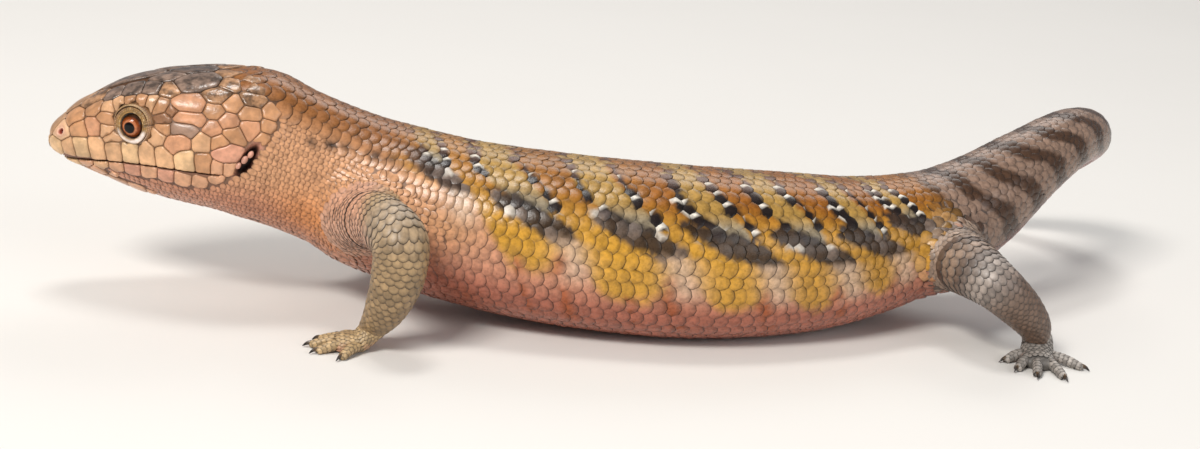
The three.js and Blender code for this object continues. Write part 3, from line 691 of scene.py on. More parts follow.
def layScales(
    surface, s, degrees, length, width, colour, place, turn=0.0, size=1.0, sunk=body["coat"], edge=1.0
):
    # every template point is laid on the surface round its scale's own place, by its
    # offsets along and across over the local mm a degree, then lifted along the normal;
    # colour is one per scale, or a function of the points' places
    # edge deepens the rings' dark sutures and painted shade
    pointAt, normalAt = surface
    u, v = template[:2]
    perDegree = mmPerDegree(pointAt, s, degrees)
    along = u * length[:, None] / 2
    across = v * width[:, None] / 2
    turn = np.broadcast_to(turn, s.shape)[:, None]
    places = s[:, None] + along
    angles = degrees[:, None] + across / perDegree[:, None] + turn * along
    each = (len(s), 1)
    tiltAlong, tiltAcross, raised = (jitter(each, amount) for amount in scaleShape["tilt"])
    tilt = tiltAlong * u + tiltAcross * v + raised
    lift = scaleLift(length, size, sunk) + tilt * length[:, None] / scaleShape["ofLength"]
    points = pointAt(places, angles) + normalAt(places, angles) * lift[..., None]
    colour = colour(places, angles) if callable(colour) else colour[:, None, :]
    return scaleCopies(points, colour, place, edge)


def layPlates(centre, normal, ahead, length, width, colour, place, size=1.0, sunk=body["coat"], edge=1.0):
    # the same scales where two forms run together: each on the flat through its centre,
    # bent down at the sides by across^2 / 16
    u, v = template[:2]
    normal = unit(normal)
    ahead = unit(ahead - normal * (ahead * normal).sum(-1, keepdims=True))
    aside = np.cross(normal, ahead)
    along = (u * length[:, None] / 2)[..., None]
    across = (v * width[:, None] / 2)[..., None]
    lift = scaleLift(length, size, sunk)[..., None] - across**2 / 16
    points = centre[:, None, :] + ahead[:, None, :] * along + aside[:, None, :] * across
    return scaleCopies(points + normal[:, None, :] * lift, colour[:, None, :], place, edge)


# Scales of the trunk, neck, throat and tail

lattice = {
    "start": 110.0,  # where a scale of every even row lies, mm from the snout
    "pitch": {"trunk": 2.22, "nape": 2.1, "neck": 1.3, "throat": 1.35, "jaw": 1.7, "tail": 2.1},
    # pairs of rows that end on each side of the tail, with the place of the ending
    "endings": [(5, 172), (12, 184), (9, 198), (3, 212), (15, 228), (7, 244), (1, 262)],
    # first s of the scales behind the head's shields, against the angle
    "first": [
        (0, 32.5), (22, 33), (30, 35), (38, 38.6), (45, 41), (62, 41.4), (75, 40.7), (92, 39.6),
        (99, 38.3), (104, 35.5), (112, 33.2), (118, 30.5), (121, 24), (125, 12), (131, 10.5),
        (137, 19), (150, 21), (166, 20.5), (172, 13), (180, 12),
    ],
    "last": 296.5,
    # behind the ear every row parts in two, up to this s against the angle
    "parted": [
        (0, 0), (44, 0), (50, 49), (57, 56), (62, 66), (70, 74),
        (80, 78), (116, 77), (130, 66), (150, 40), (156, 0), (180, 0),
    ],
    "fine": 1.02,  # pitch of the parted rows
    "fineWide": 1.42,  # and the width of their scales over their row's
    "fineBelow": 1.6,  # pitch under which a scale is one of those
}


def rowWeights(s):
    # share of the girth that each row takes: dorsal rows wider on the neck, and rows that
    # end on the tail fade out over a few mm
    k = np.arange(body["rows"])
    weights = np.ones((len(s), body["rows"]))
    onNeck = smooth(30, 38, s) * smooth(72, 58, s)
    weights += onNeck[:, None] * np.where(k < 4, 0.28, np.where(k < 14, -0.1, 0.0))
    for row, ending in lattice["endings"]:
        weights[:, row : row + 2] *= smooth(ending + 5, ending - 3, s)[:, None]
    return weights


def scalePitch(s, degrees):
    # mm from one scale to the next along a row, blended between the body's regions
    p = lattice["pitch"]
    a = np.abs(degrees)
    side = p["nape"] + (p["neck"] - p["nape"]) * smooth(38, 62, a)
    side = side + (p["throat"] - side) * smooth(112, 128, a)
    side = side + (p["jaw"] - side) * smooth(38, 26, s)
    pitch = side + (p["trunk"] - side) * smooth(60, 98, s)
    return pitch + (p["tail"] - pitch) * smooth(170, 200, s) - 0.35 * smooth(210, 290, s)


def bodyLattice():
    # along each row, and the two halves of a parted one, places where the integral of
    # ds / pitch from the start is a whole number, or a half more on every other row
    s = np.arange(8.0, lattice["last"], 0.1)
    weights = rowWeights(s)
    shares = weights / weights.sum(1, keepdims=True)
    middles = np.cumsum(shares, 1) - shares / 2
    girth = np.interp(s, girthSteps, halfGirth)
    found = []
    for strand in range(3 * body["rows"]):
        row, part = strand // 3, (0, -0.25, 0.25)[strand % 3]
        angles = angleAtShare(s, middles[:, row] + part * shares[:, row])
        pitch = np.where(part != 0, lattice["fine"] + 0.4 * smooth(58, 76, s), scalePitch(s, angles))
        turns = np.cumsum(0.1 / pitch)
        turns -= np.interp(lattice["start"], s, turns)
        for side in (1, -1):
            half = 0.5 * ((row + (part > 0) + (side < 0)) % 2)
            wanted = np.arange(np.ceil(turns[0] - half), np.floor(turns[-1] - half) + 1) + half
            places = np.interp(wanted, turns, s)
            at = np.interp(places, s, angles)
            first = np.interp(at, *np.transpose(lattice["first"]))
            parted = places < np.interp(at, *np.transpose(lattice["parted"]))
            keep = (np.interp(places, s, weights[:, row]) > 0.4) & (places > first) & (parted == (part != 0))
            places, at = places[keep], at[keep]
            slope = np.interp(places, s, np.gradient(angles, s))
            width = np.interp(places, s, girth * shares[:, row]) * (0.5 if part else 1)
            step = np.interp(places, s, pitch)
            found.append(np.stack([places, side * at, side * slope, width, step], -1))
    return np.vstack(found)


roots = bodyLattice()
print("body scales:", len(roots))


# Limbs

limbs = {
    "foreleg": {
        "station": 11.6,  # place on the spine that it hangs from, in stations
        # ahead of it, aside and height of places along the limb, mm
        "path": [
            (2.0, 5.0, 17.5), (-1.0, 14.5, 21.0), (-6.0, 22.5, 23.0), (-9.6, 27.0, 21.0),
            (-9.6, 27.8, 15.0), (-7.6, 26.6, 8.6), (-5.4, 25.0, 4.4),
        ],
        "radii": [6.0, 5.6, 5.2, 5.3, 4.9, 3.9, 2.7],
        "stride": 3.0,  # how far ahead the right foot is
        "heading": 10,  # degrees that the foot points out
        "palm": (5.2, 3.1, 1.9),  # length, half width, half height
        # degrees from the heading, length, and how far ahead its root is
        "toes": [(44, 4.4, -0.4), (20, 6.0, 0.4), (1, 6.8, 0.8), (-19, 6.4, 0.5), (-50, 4.8, -0.6)],
        "meets": (32, 96),  # the part of the spine that its root may touch, mm
        "centre": (64.5, 61.5),  # middle of that, left and right
    },
    "hindleg": {
        "station": 18.6,
        "path": [
            (1.0, 4.0, 15.5), (2.6, 13.0, 16.0), (4.6, 21.5, 16.4), (3.4, 27.0, 14.8),
            (-1.6, 28.6, 10.6), (-5.6, 28.8, 6.6), (-7.0, 28.6, 3.9),
        ],
        "radii": [7.2, 6.6, 5.7, 4.9, 4.2, 3.4, 2.7],
        "stride": 4.0,
        "heading": 57,
        "palm": (5.6, 3.2, 1.9),
        "toes": [(58, 4.6, -0.8), (30, 6.2, 0.3), (6, 7.2, 0.8), (-22, 7.8, 0.5), (-66, 6.4, -1.0)],
        "meets": (134, 200),
        "centre": (166.0, 166.0),
    },
}
palmShape = {"start": -1.3, "heel": 0.8, "middle": (0.45, 1.7), "end": (1.0, 1.1), "grow": 0.65}
# half sizes, then places: reach is ahead of the knuckle, in mm or a share of the length
toeShape = {
    "root": 1.15,
    "tip": 0.85,
    "start": -1.2,
    "height": 1.0,
    "lift": 0.45,
    "low": 0.6,
    "spread": 2.3,
    "set": 0.55,
}
clawShape = {"start": -0.35, "length": 2.1, "root": 0.5, "tip": 0.1, "high": 0.75, "arch": 0.1, "droop": 0.35}


def centripetal(points, count):
    # Catmull-Rom through points with steps by the root of the distance between them: a
    # cubic on each span from its ends and the tangents there
    points = np.array(points, float)
    padded = np.vstack([2 * points[0] - points[1], points, 2 * points[-1] - points[-2]])
    x = np.linspace(0, len(points) - 1, count)
    i = np.minimum(x.astype(int), len(points) - 2)
    w = (x - i)[:, None]
    p = [padded[i + k] for k in range(4)]
    d = [np.linalg.norm(p[k + 1] - p[k], axis=1, keepdims=True) ** 0.5 for k in range(3)]
    start = (p[1] - p[0]) / d[0] - (p[2] - p[0]) / (d[0] + d[1]) + (p[2] - p[1]) / d[1]
    end = (p[2] - p[1]) / d[1] - (p[3] - p[1]) / (d[1] + d[2]) + (p[3] - p[2]) / d[2]
    start, end = start * d[1], end * d[1]
    square = -3 * p[1] + 3 * p[2] - 2 * start - end
    cube = 2 * p[1] - 2 * p[2] + start + end
    return p[1] + start * w + square * w**2 + cube * w**3


def makeTube(points, wide, high, guide, count=81):
    # a path with its length, direction, and two axes square to it: side = guide x along
    # and up = along x side; wide and high are the half sizes at even steps of the path
    path = centripetal(points, count)
    length = np.concatenate([[0], np.cumsum(np.linalg.norm(np.diff(path, axis=0), axis=1))])
    along = unit(np.gradient(path, length, axis=0))
    side = unit(np.cross(guide, along))
    up = np.cross(along, side)
    u = np.linspace(0, 1, count)
    sizes = np.stack([wide(u), high(u)], -1)
    return {"length": length, "values": np.hstack([path, side, up, along, sizes]), "end": length[-1]}


tubeColumns = {
    "at": slice(0, 3),
    "side": slice(3, 6),
    "up": slice(6, 9),
    "along": slice(9, 12),
    "wide": 12,
    "high": 13,
}


def tubeAt(tube, a):
    # the tube's columns at a, the distance along it
    return named(readTable(a, tube["length"], tube["values"]), tubeColumns)


def tubePoint(tube, a, degrees, lift=0.0):
    # path + side * wide * cos + up * high * sin, with round ends: past an end the ring
    # shrinks by sqrt(1 - x2) as the point goes on
    a, degrees, lift = np.broadcast_arrays(a, degrees, lift)
    q = tubeAt(tube, a)
    over = np.where(a < 0, -a, np.where(a > tube["end"], a - tube["end"], 0))
    size = (q["wide"] + q["high"]) / 2
    x = np.clip(over / np.maximum(size, 1e-6), 0, 1)
    ring = np.sqrt(1 - x * x)
    angle = np.radians(degrees)
    onward = np.where(a < 0, -1.0, 1.0) * (x * size + lift * x)
    across = (q["wide"] + lift) * np.cos(angle) * ring
    upward = (q["high"] + lift) * np.sin(angle) * ring
    point = q["at"] + q["side"] * across[..., None] + q["up"] * upward[..., None]
    return point + q["along"] * onward[..., None]


def tubeNormal(tube, a, degrees):
    # side * cos / wide + up * sin / high, to length 1
    a, degrees = np.broadcast_arrays(a, degrees)
    q = tubeAt(tube, a)
    angle = np.radians(degrees)
    side = np.cos(angle) / q["wide"]
    up = np.sin(angle) / q["high"]
    return unit(q["side"] * side[..., None] + q["up"] * up[..., None])


def tubeSurface(tube):
    # the tube's point and normal as functions of the place along it and the angle
    return lambda a, degrees: tubePoint(tube, a, degrees), lambda a, degrees: tubeNormal(tube, a, degrees)


def turned(forward, out, degrees):
    # forward turned towards the outer side
    return forward * np.cos(np.radians(degrees)) + out * np.sin(np.radians(degrees))


def evenly(values):
    # values at even steps of the path, read between them by straight steps
    return lambda u: np.interp(u * (len(values) - 1), np.arange(len(values)), values)


level = np.array([1, 1, 0])  # keeps a point's place on the floor
rise = np.array([0, 0, 1.0])


def makePalm(points, limb, wristSize, axes):
    # from inside the wrist down and out along the heading, from the wrist's size to its own
    forward, out = axes
    long, wide, high = limb["palm"]
    wrist = points[-1]
    front = turned(forward, out, limb["heading"])
    heel = unit(wrist - points[-2])
    path = [wrist + heel * palmShape["start"], wrist + heel * palmShape["heel"]]
    for reach, height in (palmShape["middle"], palmShape["end"]):
        path.append((wrist + front * reach * long) * level + rise * height)

    def size(full):
        return lambda u: wristSize + (full - wristSize) * np.minimum(1, u / palmShape["grow"])

    return makeTube(path, size(high), size(wide), turned(forward, out, limb["heading"] + 90))


def makeToe(wrist, limb, toe, axes):
    # a toe's tube and its claw's, both laid from the knuckle along the toe's own heading
    forward, out = axes
    turn, length, ahead = toe
    front = turned(forward, out, limb["heading"])
    way = turned(forward, out, limb["heading"] - turn)
    across = turned(forward, out, limb["heading"] - 90) * np.sin(np.radians(turn)) * toeShape["spread"]
    knuckle = (wrist + front * (limb["palm"][0] * toeShape["set"] + ahead) + across) * level

    def path(places):
        return [knuckle + way * reach + rise * height for reach, height in places]

    def thick(u):
        return toeShape["root"] + (toeShape["tip"] - toeShape["root"]) * u

    def clawThick(u):
        return clawShape["root"] * (1 - u) ** 0.8 + clawShape["tip"]

    toePath = path([
        (toeShape["start"], toeShape["height"]),
        (length * 0.3, toeShape["height"] + toeShape["lift"]),
        (length * 0.7, toeShape["height"] + toeShape["lift"] * 0.4),
        (length, toeShape["low"]),
    ])
    clawPath = path([
        (length + clawShape["start"], clawShape["high"]),
        (length + clawShape["length"] * 0.5, clawShape["high"] + clawShape["arch"]),
        (length + clawShape["length"], clawShape["droop"]),
    ])
    return makeTube(toePath, thick, thick, rise), makeTube(clawPath, clawThick, clawThick, rise, 21)


def makeLimb(name, side):
    # the limb's tube, palm and toes with their claws' paths, set out from a level frame at
    # its place on the spine: ahead to the head, aside, and up
    limb = limbs[name]
    station = limb["station"] * body["perSpan"]
    base = named(readTable(station, np.arange(len(spineValues)), spineValues), spineColumns)
    forward = unit(-base["along"] * level)
    out = unit(base["left"] * level) * side
    stride = limb["stride"] if side < 0 else 0
    points = []
    for i, (ahead, aside, height) in enumerate(limb["path"]):
        ahead = ahead + stride * i / (len(limb["path"]) - 1)
        points.append(base["at"] * level + forward * ahead + out * aside + rise * height)
    radius = evenly(limb["radii"])
    axes = forward, out
    return {
        **limb,
        "name": name,
        "side": side,
        "label": name + ("Left" if side > 0 else "Right"),
        "index": 2 * (name == "hindleg") + (side < 0),
        "tube": makeTube(points, radius, radius, forward),
        "palm": makePalm(points, limb, limb["radii"][-1], axes),
        "toes": [makeToe(points[-1], limb, toe, axes) for toe in limb["toes"]],
        "forward": forward,
        "out": out,
        "centre": limb["centre"][side < 0],
    }


allLimbs = [makeLimb(name, side) for name in limbs for side in (1, -1)]


def limbDistance(points, limb):
    # least of (distance to the path's points - radius there), over every third of them
    q = named(limb["tube"]["values"][::3], tubeColumns)
    away = np.linalg.norm(points[..., None, :] - q["at"], axis=-1) - q["wide"]
    return away.min(-1)


def trunkDistance(points, low, high):
    # from the nearest spine point: F = (|l / wide|^n + |h / high|^n)^(1/n), and the
    # distance is about |p - c| (1 - 1 / F)
    q, _, left, up, _ = nearestOnSpine(points, np.arange(low, high, 0.5))
    tall, n = halfSizes(q, up)
    f = (np.abs(left / q["wide"]) ** n + np.abs(up / tall) ** n) ** (1 / n)
    return np.hypot(left, up) * (1 - 1 / np.maximum(f, 1e-3))


union = {
    "width": 5.0,  # over how many mm a limb's root runs into the trunk
    "probe": 0.3,  # step for the gradient
    "most": 1.6,  # the most that a point moves in one step
    "fade": (7, 5),  # distance from a limb over which the trunk's points start to move
}


def softUnion(a, b, width):
    # the lesser of two distances, rounded where they are alike:
    # mix(b, a, h) - width h (1 - h), with h = 1/2 + (b - a) / 2 width
    h = np.clip(0.5 + 0.5 * (b - a) / width, 0, 1)
    return b * (1 - h) + a * h - width * h * (1 - h)


def ontoUnion(points, limb, depth=0.0, steps=5):
    # steps along the gradient of the soft union of trunk and limb until its distance is
    # minus the depth; the gradient is kept as the normal there
    def distance(p):
        return softUnion(trunkDistance(p, *limb["meets"]), limbDistance(p, limb), union["width"])

    slope = points
    for _ in range(steps):
        here = distance(points)
        slope = unit(np.stack([distance(points + step) - here for step in np.eye(3) * union["probe"]], -1))
        points = points - slope * np.clip(here + depth, -union["most"], union["most"])[:, None]
    return points, slope


def nearLimb(s, degrees):
    # for each place on the trunk, which limb's root may lift it, or -1
    which = np.full(s.shape, -1)
    for k, limb in enumerate(allLimbs):
        inReach = (np.abs(s - limb["centre"]) < 22) & (np.sign(degrees) == limb["side"])
        which = np.where(inReach & (np.abs(degrees) > 35) & (np.abs(degrees) < 165), k, which)
    return which


# The coat of the trunk and tail

bodyCoat = {
    "reach": 7,  # mm from a limb within which scales are looked at
    "deepest": 5,  # mm inside the limb at which one is left out at once
    "flat": 0.04,  # mm of moving past which a scale is laid as a flat plate
    "inside": 3.4,  # mm inside the limb at which one is left out after moving
    "moved": 5,  # and the furthest that one may move
    # pieces by the place where they start; the last ends with the tail
    "pieces": {"throatScales": 0, "neckScales": 46, "trunkScales": 84, "rumpScales": 136, "tailScales": 184},
}


def bodyPlace(s, degrees):
    # the unwrap: u along the spine, v round it, on the left part of the unit square
    return np.stack([0.01 + 0.76 * s / bodyLength, 0.5 + 0.98 * degrees / 360], -1)


def drawToLimbs(s, degrees, centre, normal):
    # near a limb's root the scales lie on the soft union, and those where the limb's own
    # surface is nearer are left out: new centres and normals, which stay, which moved
    keep = np.ones(len(s), bool)
    flat = np.zeros(len(s), bool)
    which = nearLimb(s, degrees)
    for k, limb in enumerate(allLimbs):
        chosen = np.flatnonzero(which == k)
        chosen = chosen[limbDistance(centre[chosen], limb) < bodyCoat["reach"]]
        deep = trunkDistance(centre[chosen], *limb["meets"]) - limbDistance(centre[chosen], limb)
        keep[chosen[deep > bodyCoat["deepest"]]] = False
        chosen = chosen[deep <= bodyCoat["deepest"]]
        on, slopes = ontoUnion(centre[chosen], limb)
        fade = smooth(*union["fade"], limbDistance(centre[chosen], limb))
        on = centre[chosen] + (on - centre[chosen]) * fade[:, None]
        slopes = unit(mix(normal[chosen], slopes, fade))
        moved = np.linalg.norm(on - centre[chosen], axis=-1)
        centre[chosen], normal[chosen], flat[chosen] = on, slopes, moved > bodyCoat["flat"]
        inside = trunkDistance(on, *limb["meets"]) - limbDistance(on, limb)
        keep[chosen[(inside > bodyCoat["inside"]) | (moved > bodyCoat["moved"])]] = False
    return keep, flat


def coatBody():
    # the scales of the lattice in pieces, in the order of the body; where a limb's root
    # lifts them they are flat plates
    s, degrees, slope, width, pitch = roots.T
    long = pitch * scaleShape["long"]
    wide = width * np.where(pitch < lattice["fineBelow"], lattice["fineWide"], scaleShape["wide"])
    centre = bodyPoint(s, degrees)
    normal = bodyNormal(s, degrees)
    keep, flat = drawToLimbs(s, degrees, centre, normal)
    place = bodyPlace(s, degrees)
    starts = list(bodyCoat["pieces"].values())
    for name, low, high in zip(bodyCoat["pieces"], starts, starts[1:] + [bodyLength]):
        m = keep & ~flat & (s >= low) & (s < high)

        def colour(places, angles):
            return bodyColour(places, angles, pitch[m][:, None])

        surface = bodyPoint, bodyNormal
        shells = [layScales(surface, s[m], degrees[m], long[m], wide[m], colour, place[m], slope[m])]
        m = keep & flat & (s >= low) & (s < high)
        if m.any():
            ahead = bodyPoint(s[m] + 1, degrees[m] + slope[m]) - bodyPoint(s[m], degrees[m])
            whole = bodyColour(s[m] + 0.36 * pitch[m], degrees[m], pitch[m])
            shells.append(layPlates(centre[m], normal[m], ahead, long[m], wide[m], whole, place[m]))
        piece = makePiece(name, shells, bodyKeratin)


coatBody()


# The head: mouth, eyes, nostrils and ears cut into it, and its shields

mouth = {
    "under": 3.3,  # how far below the spine the mouth's line lies, mm
    "corner": 33.5,  # s of the corner
    "chin": 2.3,  # s where it passes under the snout
    "half": 0.15,  # half of its gap at the lips
    "deep": 0.9,
}
nostril = {"s": 3.6, "degrees": 65.0, "radius": 0.62, "longer": 1.25, "deep": 0.8}
ear = {"s": 38.3, "degrees": 89.5, "long": 3.6, "wide": 1.25, "lean": 27.0, "deep": 2.8}
# circle round the eye, its shift, and its scalloped edge
lids = {"outer": 3.75, "back": 0.35, "raised": 0.4, "scallop": 0.1, "scallops": 9}


def mouthHeight(s, degrees):
    # height of a place of the head above the mouth's line, mm
    q = spineAt(np.abs(s))
    return ((bodyPoint(s, degrees) - q["at"]) * q["up"]).sum(-1) + mouth["under"]


def tangent(s, degrees, side):
    # a level frame on the skin: forward along the head, out of the skin, and up
    s, degrees = np.array(float(s)), np.array(side * float(degrees))
    centre = bodyPoint(s, degrees)
    outward = bodyNormal(s, degrees)
    along = unit(np.cross(outward, [0, 0, 1.0])) * side
    up = unit(np.cross(along, outward)) * side
    return {"centre": centre, "out": outward, "ahead": along, "up": up}


openings = {"eye": eyePlace, "nostril": nostril, "ear": ear}
headFrames = {
    side: {name: tangent(place["s"], place["degrees"], side) for name, place in openings.items()}
    for side in (1, -1)
}


def seenFrom(points, side, name):
    # how far ahead, up and out a point lies in one of those frames
    axes = headFrames[side][name]
    away = points - axes["centre"]
    return [(away * axes[k]).sum(-1) for k in ("ahead", "up", "out")]


def onlyNear(oval, out, depth):
    # the oval's values, made large where a point is far from the frame's own skin
    return oval + (np.abs(out) > depth) * 9


def eyeOval(points, side):
    # 1 on the rim of the circle that the lids take up, less inside it
    ahead, up, out = seenFrom(points, side, "eye")
    x, y = ahead + lids["back"], up - lids["raised"]
    radius = lids["outer"] * (1 + lids["scallop"] * np.sin(lids["scallops"] * np.arctan2(y, x)))
    return onlyNear(np.hypot(x, y) / radius, out, 6)


def earOval(points, side):
    # 1 on the rim of the upright slit, whose foot leans forward
    ahead, up, out = seenFrom(points, side, "ear")
    lean = np.radians(ear["lean"])
    x = ahead * np.cos(lean) + up * np.sin(lean)
    y = up * np.cos(lean) - ahead * np.sin(lean)
    return onlyNear(np.hypot(x / ear["wide"], y / ear["long"]), out, 6)


def nostrilOval(points, side):
    # 1 on the rim of the nostril, a little longer than high
    ahead, up, out = seenFrom(points, side, "nostril")
    wide = nostril["radius"] * nostril["longer"]
    return onlyNear(np.hypot(ahead / wide, up / nostril["radius"]), out, 4)


# shields of one side: the two ends of each one's core as s and angle, its weight in mm
# (larger takes more room), its height over the skin, and its colour. Where both ends are
# on the midline the shield is single, otherwise it has a fellow on the other side.
shieldColours = {
    "crown": "#6E5A4D",
    "crownDark": "#57473D",
    "crownWarm": "#8E6A4C",
    "snout": "#A88262",
    "side": "#B8865E",
    "sideDark": "#95694A",
    "grey": "#9C7C68",
    "sidePale": "#C89A72",
    "temple": "#C08A66",
    "lip": "#CEA076",
    "lipPale": "#D3AC80",
    "jaw": "#CB9874",
    "jawPink": "#CC9276",
    "throat": "#CC9C7C",
    "nose": "#E0B48C",
}
shields = [
    # top of the head
    (6.2, 0, 7.6, 0, 0.2, 0.34, "snout"),  # frontonasal
    (10.0, 20, 10.8, 20, 0.3, 0.34, "crownWarm"),  # prefrontal
    (13.8, 0, 19.2, 0, 0.7, 0.36, "crown"),  # frontal
    (13.4, 33, 13.8, 33, 0.1, 0.36, "crown"),  # first over the eye
    (16.6, 34, 17.2, 34, 0.3, 0.38, "crown"),
    (19.9, 34, 20.4, 34, 0.25, 0.38, "crown"),
    (22.8, 36, 23.2, 36, 0.0, 0.34, "crownWarm"),
    (22.2, 11, 22.9, 11, 0.15, 0.34, "crown"),  # frontoparietal
    (24.9, 0, 27.2, 0, 0.2, 0.34, "crownDark"),  # interparietal
    (26.0, 25, 28.9, 21, 0.6, 0.36, "crown"),  # parietal
    (2.0, 20, 2.3, 20, 0.1, 0.3, "snout"),  # upper nasal
    (0.5, 180, 0.9, 0, 0.35, 0.3, "lipPale"),  # rostral
    # along the brow
    (10.4, 44, 11.0, 45, 0.0, 0.34, "side"),
    (12.6, 49, 13.1, 50, 0.0, 0.34, "sidePale"),
    (14.6, 49, 15.0, 49, 0.0, 0.36, "sidePale"),
    (16.4, 49, 16.9, 49, 0.0, 0.36, "side"),
    (18.3, 50, 18.8, 50, 0.0, 0.36, "side"),
    (20.2, 52, 20.6, 52, 0.0, 0.34, "sidePale"),
    (21.9, 55, 22.2, 56, 0.0, 0.32, "side"),
    # between nostril and eye
    (3.6, 65, 3.6, 65, 0.15, 0.3, "nose"),  # the nostril's own
    (7.2, 68, 7.5, 70, 0.2, 0.32, "side"),
    (9.9, 71, 10.2, 73, 0.15, 0.32, "temple"),
    (12.2, 78, 12.5, 79, 0.0, 0.28, "sidePale"),
    (12.4, 64, 12.6, 66, 0.0, 0.28, "side"),
    (12.9, 85, 13.4, 85, -0.1, 0.26, "sidePale"),
    (6.4, 48, 6.9, 50, 0.1, 0.32, "side"),
    # upper lip
    (2.3, 100, 2.4, 104, 0.0, 0.34, "lipPale"),
    (4.6, 96, 4.7, 102, 0.05, 0.36, "lip"),
    (7.2, 91, 7.4, 104, 0.05, 0.38, "lipPale"),
    (10.2, 90, 10.4, 103, 0.05, 0.38, "lip"),
    (13.3, 92, 13.5, 101, 0.05, 0.38, "lip"),
    (16.4, 93, 16.6, 101, 0.0, 0.38, "lipPale"),
    (19.6, 94, 19.8, 99, 0.0, 0.38, "lip"),
    (22.8, 92, 23.1, 98, 0.05, 0.38, "lip"),
    (26.4, 94, 26.9, 98, 0.05, 0.36, "lipPale"),
    (29.9, 95, 30.3, 98, 0.0, 0.34, "side"),
    # under and behind the eye
    (21.8, 84, 22.1, 84, -0.1, 0.28, "sidePale"),
    (22.9, 77, 23.2, 76, -0.15, 0.28, "side"),
    (22.9, 68, 23.2, 68, -0.2, 0.28, "sideDark"),
    (24.0, 61, 24.4, 61, -0.2, 0.3, "sideDark"),
    # temple
    (25.2, 54, 28.2, 54, -0.1, 0.34, "temple"),
    (25.2, 65, 28.4, 66, -0.1, 0.34, "temple"),
    (24.9, 75, 27.2, 75, -0.05, 0.32, "grey"),
    (24.2, 87, 25.8, 84, 0.1, 0.34, "temple"),
    (30.1, 57, 31.2, 57, 0.0, 0.3, "side"),
    (30.6, 72, 31.0, 72, 0.0, 0.3, "temple"),
    (29.2, 82, 29.5, 82, 0.0, 0.3, "sidePale"),
    (32.3, 81, 32.7, 81, 0.0, 0.3, "side"),
    (33.2, 64, 33.8, 65, 0.0, 0.3, "temple"),
    (34.4, 73, 34.9, 73, -0.1, 0.3, "side"),
    (33.2, 49, 34.0, 49, 0.0, 0.32, "side"),
    (30.6, 44, 31.6, 43, 0.0, 0.32, "crownWarm"),
    (36.2, 42, 36.9, 42, 0.0, 0.3, "crownWarm"),
    (36.4, 56, 37.0, 56, 0.0, 0.3, "side"),
    (37.0, 66, 37.5, 66, -0.1, 0.28, "temple"),
    (40.0, 62, 40.3, 62, -0.1, 0.28, "side"),
    (39.8, 50, 40.3, 50, 0.0, 0.3, "side"),
    (40.0, 72, 40.3, 72, -0.2, 0.26, "side"),
    # cheek, before the ear
    (33.6, 87, 34.5, 87, 0.3, 0.34, "jawPink"),
    (32.6, 97, 33.0, 97, 0.0, 0.3, "jaw"),
    (35.0, 96, 35.3, 96, -0.1, 0.26, "jaw"),
    (33.0, 105, 33.3, 105, -0.1, 0.28, "jaw"),
    # nape
    (32.4, 9, 32.9, 9, 0.0, 0.32, "crownWarm"),
    (32.8, 27, 33.2, 27, 0.0, 0.32, "crownWarm"),
    (35.4, 17, 35.8, 17, 0.0, 0.3, "crownWarm"),
    (36.4, 30, 36.8, 30, 0.0, 0.3, "crownWarm"),
    # lower lip and chin
    (3.1, 180, 3.3, 180, 0.4, 0.32, "lipPale"),  # mental
    (4.5, 136, 4.7, 131, 0.05, 0.34, "lipPale"),
    (7.4, 124, 7.6, 121, 0.0, 0.34, "jaw"),
    (10.4, 120, 10.7, 118, 0.0, 0.34, "lip"),
    (13.4, 118, 13.7, 116, 0.0, 0.34, "jaw"),
    (16.5, 115, 16.9, 114, 0.0, 0.34, "jawPink"),
    (19.8, 113, 20.2, 112, 0.0, 0.34, "jaw"),
    (23.0, 113, 23.4, 112, 0.0, 0.32, "jawPink"),
    (26.2, 113, 26.6, 112, -0.05, 0.32, "jaw"),
    (29.3, 113, 29.7, 112, -0.1, 0.3, "jaw"),
    (5.8, 180, 6.4, 180, 0.2, 0.32, "throat"),  # behind the mental
    (8.6, 160, 9.2, 160, 0.3, 0.32, "throat"),
    (9.3, 136, 9.7, 135, -0.1, 0.3, "jaw"),
    (12.4, 152, 13.4, 150, 0.3, 0.32, "throat"),
    (12.6, 131, 13.0, 130, -0.15, 0.28, "jaw"),
    (16.6, 148, 17.4, 147, 0.2, 0.3, "throat"),
    (12.0, 176, 12.3, 176, -0.2, 0.28, "throat"),
    (19.9, 147, 20.3, 147, -0.1, 0.28, "throat"),
]
shieldShape = {
    "rays": 44,
    "step": 0.14,  # mm between the places tried along a ray
    "reach": 5.6,  # mm that a ray goes at most
    "bodyTo": 46,  # mm of the body whose scales may stand next to them
    "bodyWeight": -0.6,  # and those scales' weight
    "gap": 0.055,  # width of the groove between two shields
    "least": 0.08,  # shortest ray
    "eased": 0.55,  # share of its neighbours' reach in a ray's
    "inner": [0.0, 0.34, 0.66],  # inner rings as shares of the reach
    "edge": [0.3, 0.12, 0.0, 0.0],  # outer rings by their distance from the outline, mm
    "fall": [0.0, 0.0, 0.0, 0.02, 0.09, 0.24, 0.7],  # how far each ring lies under the top
    # tone of each ring: dark sutures and painted shade where the edge falls into the groove
    "suturesAndShade": [1.04, 1.02, 1.0, 0.98, 0.9, 0.62, 0.4],
    "dome": 0.05,
    # the nostril's own shield: a hollow with a rolled rim, radii in mm
    "hollow": [0.0, 0.3, 0.46, 0.56, 0.7, 0.9],
    "hollowFall": [1.0, 0.8, 0.4, 0.06, -0.07, 0.0],
    # from the middle out: red-brown lining, darkened towards the deep middle as painted shade, then the pale
    # rolled rim
    "hollowLiningAndShade": ["#3A120C", "#6A2419", "#A34A38", "#D9A58C", "#DDB295", "#C99A7C"],
}


def bothSides(rows):
    # each shield that isn't on the midline gets a fellow with its angle turned round
    out = []
    for row in rows:
        out.append(row)
        s0, a0, s1, a1, *rest = row
        if a0 % 180 or a1 % 180:
            out.append((s0, -a0, s1, -a1, *rest))
    return out


